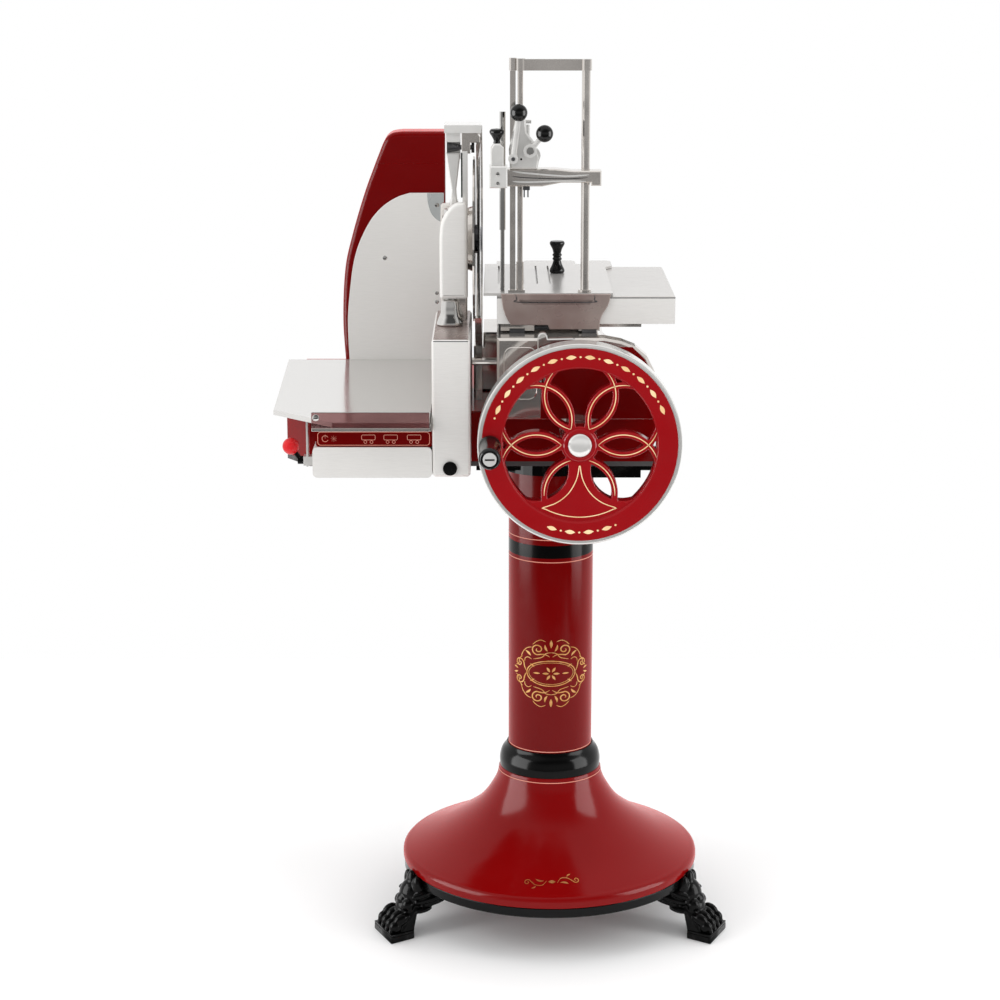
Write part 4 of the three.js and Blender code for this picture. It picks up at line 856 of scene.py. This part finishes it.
def volute(cx, cy, radius, start, turns, grow=0.16, steps=40, flip=1):
    """A spiral scroll that winds inwards from start."""
    path = []
    for k in range(steps + 1):
        t = k / steps
        r = radius * (1 - t) + radius * grow * t
        a = math.radians(start) + flip * 2 * math.pi * turns * t
        path.append((cx + r * math.cos(a), cy + r * math.sin(a)))
    return path


# The wheel: bands along six crossing circles, with openings inside, between and outside the petals


def on_wheel(x, y, lift):
    return at(WHEEL_CENTRE[0] + x, WEB_FRONT - lift, WHEEL_CENTRE[1] + y)


def on_rim(x, y, lift):
    return at(WHEEL_CENTRE[0] + x, RIM_FRONT - lift, WHEEL_CENTRE[1] + y)


WEB_BACK = -272
PETAL_CENTRE = 80
PETAL_RADIUS = 56.5
HALF_BAND = 5
WINDOW_RADIUS = 123
HUB_WINDOW_RADIUS = 30
NOTCH_RADIUS = 122
BELL_PETAL = 4


def polar(radius, degrees):
    return radius * math.cos(math.radians(degrees)), radius * math.sin(math.radians(degrees))


def petal_centre(index):
    return polar(PETAL_CENTRE, 30 + 60 * index)


def way_in_circle(start, direction, centre, radius):
    """Distances at which a ray crosses a circle."""
    to_centre = Vector(centre) - Vector(start)
    along = to_centre.dot(direction)
    inside = radius**2 - (to_centre.length_squared - along**2)
    if inside <= 0:
        return None
    return along - math.sqrt(inside), along + math.sqrt(inside)


def window(start, kept_in, kept_out, rays=180):
    """The edge, seen from start, of the area inside some circles and outside others."""
    edge = []
    for k in range(rays):
        turn = 2 * math.pi * k / rays
        direction = Vector((math.cos(turn), math.sin(turn)))
        reach = min(way_in_circle(start, direction, c, r)[1] for c, r in kept_in)
        for c, r in kept_out:
            crossing = way_in_circle(start, direction, c, r)
            if crossing and crossing[0] > 0:
                reach = min(reach, crossing[0])
        edge.append((start[0] + direction.x * reach, start[1] + direction.y * reach))
    return edge


window_edge = ((0, 0), WINDOW_RADIUS)
wheel_holes = []
for index in range(6):
    neighbours = [(petal_centre(index + side), PETAL_RADIUS + HALF_BAND) for side in (-1, 1)]
    own = (petal_centre(index), PETAL_RADIUS - HALF_BAND)
    if index != BELL_PETAL:
        hub = ((0, 0), HUB_WINDOW_RADIUS)
        wheel_holes.append(window(polar(92, 30 + 60 * index), [own, window_edge], [*neighbours, hub]))
    following = (petal_centre(index + 1), PETAL_RADIUS - HALF_BAND)
    wheel_holes.append(window(polar(69, 60 + 60 * index), [own, following], [], 120))
for index in range(4):
    between = [(petal_centre(index + side), PETAL_RADIUS + HALF_BAND) for side in (-1, 0)]
    wheel_holes.append(window(polar(117, 60 * index), [((0, 0), NOTCH_RADIUS)], between, 60))
wheel_edge = [polar(126, 3 * k) for k in range(120)]
web = slab(
    "wheel_web", [wheel_edge, *wheel_holes], WEB_FRONT, WEB_BACK, LIT_WHEEL_RED, WHEEL,
    lambda x, z, y: at(WHEEL_CENTRE[0] + x, y, WHEEL_CENTRE[1] + z), 1.6,
)
rim_profile = [
    (123.2, -296), (125, -299), (128.5, -300), (156.4, -300), (156.4, -262), (150, -259), (145.6, -272),
    (123.2, -272),
]
rim = lathe("wheel_rim", rim_profile, LIT_WHEEL_RED, WHEEL, "Y", WHEEL_CENTRE, 160)
band_profile = [
    (156.4, -299.4), (160.5, -299.4), (162.2, -298.8), (163.3, -297.2), (163.3, -260), (162, -258.2),
    (151, -258.2), (149, -260), (156.4, -262),
]
rim_band = lathe("wheel_polished_band", band_profile, RIM_STEEL, WHEEL, "Y", WHEEL_CENTRE, 160)
hub_profile = [
    (14.4, -297), (20, -300), (24.5, -300), (26.6, -298.5), (27.6, -295), (27.6, -254.2), (14.4, -254.2),
]
hub = lathe("wheel_hub", hub_profile, LIT_WHEEL_RED, WHEEL, "Y", WHEEL_CENTRE, 64)
for piece in (web, rim, rim_band, hub):
    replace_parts(piece, "flywheel")
cap_profile = [(0, -306), (8, -305.7), (14, -304.6), (17.6, -302.6), (19, -300.3), (0, -300.3)]
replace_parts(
    lathe("hub_cap_surface", cap_profile, BRIGHT_STEEL, WHEEL, "Y", WHEEL_CENTRE, 64), "flywheel_hub_cap"
)

# Each line runs from the circles' inner crossing to a short tail past the outer one, or half way up the bell
PETAL_INNER = 164.9
petal_strokes = []
for index, sides, petal_outer in (
    (0, (-1, 1), 50), (1, (-1, 1), 50), (2, (-1, 1), 50), (3, (-1,), 50), (5, (1,), 50),
    (BELL_PETAL, (-1, 1), 87),
):
    centre_angle = 30 + 60 * index
    for side in sides:
        start, end = (centre_angle + side * turn for turn in (PETAL_INNER, petal_outer))
        stroke = arc(*petal_centre(index), PETAL_RADIUS, start, end, 48)
        petal_strokes.append((stroke, 1.5, False))
bell_right = smooth_curve([(0.6, -34), (5, -56), (17, -78), (36, -94), (60, -103)], 8)
bell_line = bell_right + arc(0, 0, 118, -60.5, -119.5, 24)[1:-1] + [(-x, y) for x, y in reversed(bell_right)]
painted("wheel_petal_lines", petal_strokes, PALE_GOLD, WHEEL, on_wheel)
painted("wheel_bell_line", [(bell_line, 1.5, True)], PALE_GOLD, WHEEL, on_wheel)

# Leaf pattern along the rim
LEAF_RADIUS = 142.5


def leaf(angle, length, width):
    """A pointed leaf lying along the rim."""
    half = math.degrees(length / 2 / LEAF_RADIUS)
    swell = [width * math.sin(math.pi * k / 10) for k in range(11)]
    outside = [(LEAF_RADIUS + swell[k], angle + half - 2 * half * k / 10) for k in range(11)]
    inside = [(LEAF_RADIUS - swell[k], angle - half + 2 * half * k / 10) for k in range(1, 10)]
    return [polar(r, a) for r, a in outside + inside]


leaf_verts = []
leaf_faces = []
leaf_angles = [24 + 12 * k for k in range(12)] + [252 + 12 * k for k in range(4)]
for angle in leaf_angles:
    for outline in (leaf(angle, 17, 3.4), leaf(angle + 6, 4, 1.7)):
        start = len(leaf_verts)
        leaf_verts += [on_rim(x, y, 0.25) for x, y in outline]
        leaf_faces.append(tuple(start + i for i in range(len(outline))))
mesh_object("wheel_leaf_pattern", leaf_verts, leaf_faces, PALE_GOLD, WHEEL, smooth=False)

# Scroll ornament: a cartouche on the column and a flourish on the bell


def ellipse(half_width, half_height, steps=72):
    turns = [2 * math.pi * k / steps for k in range(steps)]
    return [(half_width * math.cos(turn), half_height * math.sin(turn)) for turn in turns]


def leaf_line(cx, cy, length, degrees, bend=0.0):
    """The middle line of a painted leaf, bent to one side."""
    turn = math.radians(degrees)
    along = Vector((math.cos(turn), math.sin(turn)))
    points = []
    for k in range(11):
        t = k / 10 - 0.5
        spot = Vector((cx, cy)) + along * length * t + Vector((-along.y, along.x)) * bend * (1 - 4 * t * t)
        points.append((spot.x, spot.y))
    return points


def flipped(path, across, up):
    return [(x * across, y * up) for x, y in path]


QUARTERS = ((1, 1), (-1, 1), (1, -1), (-1, -1))
CARTOUCHE_HEIGHT = 459
CARTOUCHE_WIDENING = 1.16


# Painted highlights along the clamp arm's ridges, and a painted shade line along its groove


def on_arm(x, z, lift):
    return at(x, ARM_FRONT - lift, z)


arm_ridges = [
    (smooth_curve([(-67.7, 1330.3), (-43.6, 1327.3), (16.0, 1322.8), (55.0, 1324.8)], 8), 2.6, False),
    (smooth_curve([(-67.7, 1314.3), (-43.6, 1313.1), (16.1, 1314.8), (49.4, 1314.3)], 8), 2.6, False),
]
painted("arm_ridges", arm_ridges, SOFT_CHROME, "clamp", on_arm, 0.3)
arm_groove = [
    (smooth_curve([(-67.7, 1322.3), (-43.6, 1320.0), (16.1, 1318.4), (52.8, 1320.2)], 8), 1.4, False)
]
painted("arm_groove", arm_groove, DARK_STEEL, "clamp", on_arm, 0.2)


def on_column(x, y, lift):
    """A point on the front of the column, the drawing widened to fit its round face."""
    turn = CARTOUCHE_WIDENING * x / COLUMN_RADIUS
    radius = COLUMN_RADIUS + lift
    return at(radius * math.sin(turn), -radius * math.cos(turn), CARTOUCHE_HEIGHT + y)


scroll_lines = [
    (smooth_curve([(2, 30), (10, 34.5), (21.7, 33.2)], 6)[:-1] + volute(20, 43, 10, -80, 1.35), 1.9),
    (smooth_curve([(39, 2), (41.5, 7), (43.1, 12.4)], 6)[:-1] + volute(52, 14, 9, 190, 1.3, flip=-1), 1.8),
    (smooth_curve([(30, 46), (38, 43), (45, 35), (49, 25)], 6), 1.3),
    (smooth_curve([(30, 24), (36, 27), (41, 24), (42, 18)], 6), 1.2),
    (smooth_curve([(8, 57), (15, 60), (22, 57), (28, 51)], 6), 1.2),
    (smooth_curve([(0, 38), (8, 36), (14, 29), (27, 25)], 6), 1.3),
    (smooth_curve([(46, 27), (52, 21), (54, 12), (60, 8)], 6), 1.3),
]
scroll_leaves = [
    (leaf_line(36, 34, 13, 42, 1.2), 3.6),
    (leaf_line(7, 46, 13, 72, -1.5), 3.4),
    (leaf_line(60, 3.4, 10, 18, 1), 3),
    (leaf_line(29, 13, 9, 35, 0.6), 2.2),
]
cartouche_lines = [(ellipse(38, 22.6), 1.6, True), (ellipse(34.6, 19.4), 0.8, True)]
cartouche_leaves = [(leaf_line(0, up * 53, 15, 90), 4.4) for up in (-1, 1)]
cartouche_leaves += [(leaf_line(*polar(8, 60 * k), 10, 60 * k), 3.8) for k in range(6)]
cartouche_leaves += [(leaf_line(across * 22, 0, 11, 0), 3) for across in (-1, 1)]
for across, up in QUARTERS:
    cartouche_lines += [(flipped(path, across, up), width, False) for path, width in scroll_lines]
    cartouche_leaves += [(flipped(path, across, up), width) for path, width in scroll_leaves]
painted("column_cartouche", cartouche_lines, GOLD, MACHINE, on_column, 0.14, cartouche_leaves)


FLOURISH_RADIUS = 222


def on_bell(x, y, lift):
    """A point on the front of the bell, y running up its slope."""
    radius = FLOURISH_RADIUS - y
    height = 0
    for (r0, z0), (r1, z1) in zip(bell_outside, bell_outside[1:]):
        if r1 <= radius <= r0:
            height = z0 + (z1 - z0) * (r0 - radius) / (r0 - r1)
    turn = x / FLOURISH_RADIUS
    radius += 0.45 * lift
    return at(radius * math.sin(turn), -radius * math.cos(turn), height + 0.9 * lift)


flourish_lines = []
flourish_leaves = [(leaf_line(0, 0, 13, 0), 6)]
for across in (-1, 1):
    sweep = smooth_curve([(9, -2), (16, 7), (27, 7), (36, 0)], 6)[:-1] + volute(41.5, 2.5, 6, 200, 1.2)
    flourish_lines.append((flipped(sweep, across, across), 1.6, False))
    flourish_leaves.append((flipped(leaf_line(21, -3.5, 15, -12, 2), across, across), 3.4))
    flourish_leaves.append((flipped(leaf_line(30, 12, 9, 30, 1), across, across), 2.6))
painted("bell_flourish", flourish_lines, GOLD, MACHINE, on_bell, 0.3, flourish_leaves)


# Pale border and plain marks on the control strip


def on_strip(x, z, lift):
    return at(x, STRIP_FRONT - lift, z)


def rounded_outline(x0, x1, z0, z1, corner):
    corners = ((x1 - corner, z1 - corner, 0), (x0 + corner, z1 - corner, 90), (x0 + corner, z0 + corner, 180))
    corners += ((x1 - corner, z0 + corner, 270),)
    return [spot for x, z, start in corners for spot in arc(x, z, corner, start, start + 90, 6)]


MARK_HEIGHT = 906.4
strip_lines = [
    (rounded_outline(-383, -202, 895.6, 917.2, 5), 0.9, True),
    (arc(-371, MARK_HEIGHT, 5, 20, 340), 0.8, False),
    ([(-371, MARK_HEIGHT), (-371, MARK_HEIGHT + 7)], 0.8, False),
]
for k in range(8):
    ray_x, ray_z = polar(5.4, 45 * k)
    strip_lines.append(([(-357, MARK_HEIGHT), (-357 + ray_x, MARK_HEIGHT + ray_z)], 0.7, False))
for left in (-312, -276, -238):
    strip_lines.append((rounded_outline(left, left + 22, 904.4, 912.6, 2), 0.8, True))
    strip_lines += [(arc(left + 6 + 10 * k, 901, 2.4, 0, 360, 14)[:-1], 0.7, True) for k in range(2)]
painted("strip_marks", strip_lines, LINE_PAINT, MACHINE, on_strip, 0.15)

# Slots in the meat table, and painted shade along the edge of the pocket pressed into the apron
table_slots = [([(x, 148), (x - 1, -14)], 2.2, False) for x in (-86, -47, -25.5)]
painted("table_slots", table_slots, BLACK, "table", lambda x, y, lift: at(x, y, TABLE_TOP + lift), 0.1)


def on_apron(x, z, lift):
    return at(x, APRON_FRONT - lift, z)


pocket = smooth_curve(
    [(-62.4, 1130.8), (-60.4, 1122.5), (-55.5, 1118), (60.4, 1118), (65.3, 1121.7), (66.4, 1130.8)], 5
)
painted("apron_pocket", [(pocket, 1.6, False)], DARK_STEEL, "table", on_apron, 0.1)


# Studio

floor_material, floor_tree, floor_shader = new_material("studio_floor")
floor_colour = colours(floor_tree, noise(floor_tree, 0.8), (0.955, 0.955, 0.955), (0.97, 0.97, 0.97))
floor_tree.links.new(floor_colour, floor_shader.inputs["Base Color"])
set_inputs(floor_shader, {"Roughness": 0.9, "Specular IOR Level": 0.1})
floor_data = bpy.data.meshes.new("studio_floor")
floor_data.from_pydata([(-1.5, -1.5, 0), (1.5, -1.5, 0), (1.5, 1.5, 0), (-1.5, 1.5, 0)], [], [(0, 1, 2, 3)])
floor_data.materials.append(floor_material)
floor = new_object("studio_floor", floor_data)

WHITE = (1, 1, 1, 1)
world = bpy.data.worlds.new("studio")
world.use_nodes = True
bpy.context.scene.world = world
world_tree = world.node_tree
backdrop = world_tree.nodes["Background"]
set_inputs(backdrop, {"Color": WHITE})
ambient = world_tree.nodes.new("ShaderNodeBackground")
set_inputs(ambient, {"Color": WHITE, "Strength": 1.04})
rays = world_tree.nodes.new("ShaderNodeLightPath")
link = world_tree.links.new


def larger(first, second):
    node = world_tree.nodes.new("ShaderNodeMath")
    node.operation = "MAXIMUM"
    link(first, node.inputs[0])
    link(second, node.inputs[1])
    return node.outputs[0]


def room_level(source, start, end, low, high):
    """A soft step of brightness between two values of a direction."""
    node = world_tree.nodes.new("ShaderNodeMapRange")
    node.interpolation_type = "SMOOTHSTEP"
    set_inputs(node, {"From Min": start, "From Max": end})
    for name, value in (("To Min", low), ("To Max", high)):
        if isinstance(value, float):
            set_inputs(node, {name: value})
        else:
            link(value, node.inputs[name])
    link(source, node.inputs["Value"])
    return node.outputs["Result"]


# The white backdrop, which reflections see dimmer in the part of the room that faces it
directions = world_tree.nodes.new("ShaderNodeTexCoord")
split = world_tree.nodes.new("ShaderNodeSeparateXYZ")
facing = world_tree.nodes.new("ShaderNodeVectorMath")
facing.operation = "DOT_PRODUCT"
facing.inputs[1].default_value = (0.25, -0.97, 0)
link(directions.outputs["Generated"], split.inputs[0])
link(directions.outputs["Generated"], facing.inputs[0])
low_level = room_level(split.outputs["Z"], -0.22, 0.05, 0.04, 0.5)
front_level = room_level(split.outputs["Z"], 0.15, 0.5, low_level, 0.08)
dimming = room_level(facing.outputs["Value"], 0.1, 0.7, 1.0, front_level)
straight = larger(rays.outputs["Is Camera Ray"], rays.outputs["Is Transmission Ray"])
link(larger(straight, dimming), backdrop.inputs["Strength"])
mix = world_tree.nodes.new("ShaderNodeMixShader")
link(larger(straight, rays.outputs["Is Glossy Ray"]), mix.inputs["Fac"])
link(ambient.outputs[0], mix.inputs[1])
link(backdrop.outputs[0], mix.inputs[2])
link(mix.outputs[0], world_tree.nodes["World Output"].inputs["Surface"])


def softbox(name, place, aim, size, power):
    data = bpy.data.lights.new(name, "AREA")
    data.shape = "RECTANGLE"
    data.size = size[0]
    data.size_y = size[1]
    data.energy = power
    light = new_object(name, data)
    light.location = place
    light.rotation_euler = (Vector(aim) - Vector(place)).to_track_quat("-Z", "Y").to_euler()
    light.visible_glossy = False


softbox("left_softbox", (-2.8, -1.6, 1.9), (0, 0, 0.8), (1.0, 2.4), 32)
softbox("right_softbox", (2.8, -1.2, 1.7), (0, 0, 0.8), (0.8, 2.4), 24)
softbox("top_softbox", (0, -0.4, 3.4), (0, 0, 0), (2.0, 1.6), 6)

GLEAMING = [RED, LIT_BELL_RED, LIT_WHEEL_RED, BLACK, IRON, BLACK_PLASTIC]
gleaming_surfaces = bpy.data.collections.new("gleaming_surfaces")
for piece in bpy.context.scene.objects:
    if piece.type == "MESH" and any(slot.material in GLEAMING for slot in piece.material_slots):
        gleaming_surfaces.objects.link(piece)
for gleam_name, place, size, power in (
    ("left_gleam", (-2.9, -0.8, 1.2), (2.6, 2.8), 170),
    ("right_gleam", (2.9, -0.8, 1.2), (1.9, 2.8), 110),
):
    softbox(gleam_name, place, (0, 0, 0.9), size, power)
    gleam = bpy.data.objects[gleam_name]
    gleam.visible_glossy = True
    gleam.visible_diffuse = False
    gleam.light_linking.receiver_collection = gleaming_surfaces

camera_data = bpy.data.cameras.new("camera")
camera_data.sensor_width = 36
camera_data.lens = 87.6
camera = new_object("camera", camera_data)
camera.location = at(-88, -4078, 1736)
camera.rotation_euler = Euler((math.radians(90 - 13.6), 0, 0))
bpy.context.scene.camera = camera
bpy.context.scene.view_settings.view_transform = "Standard"
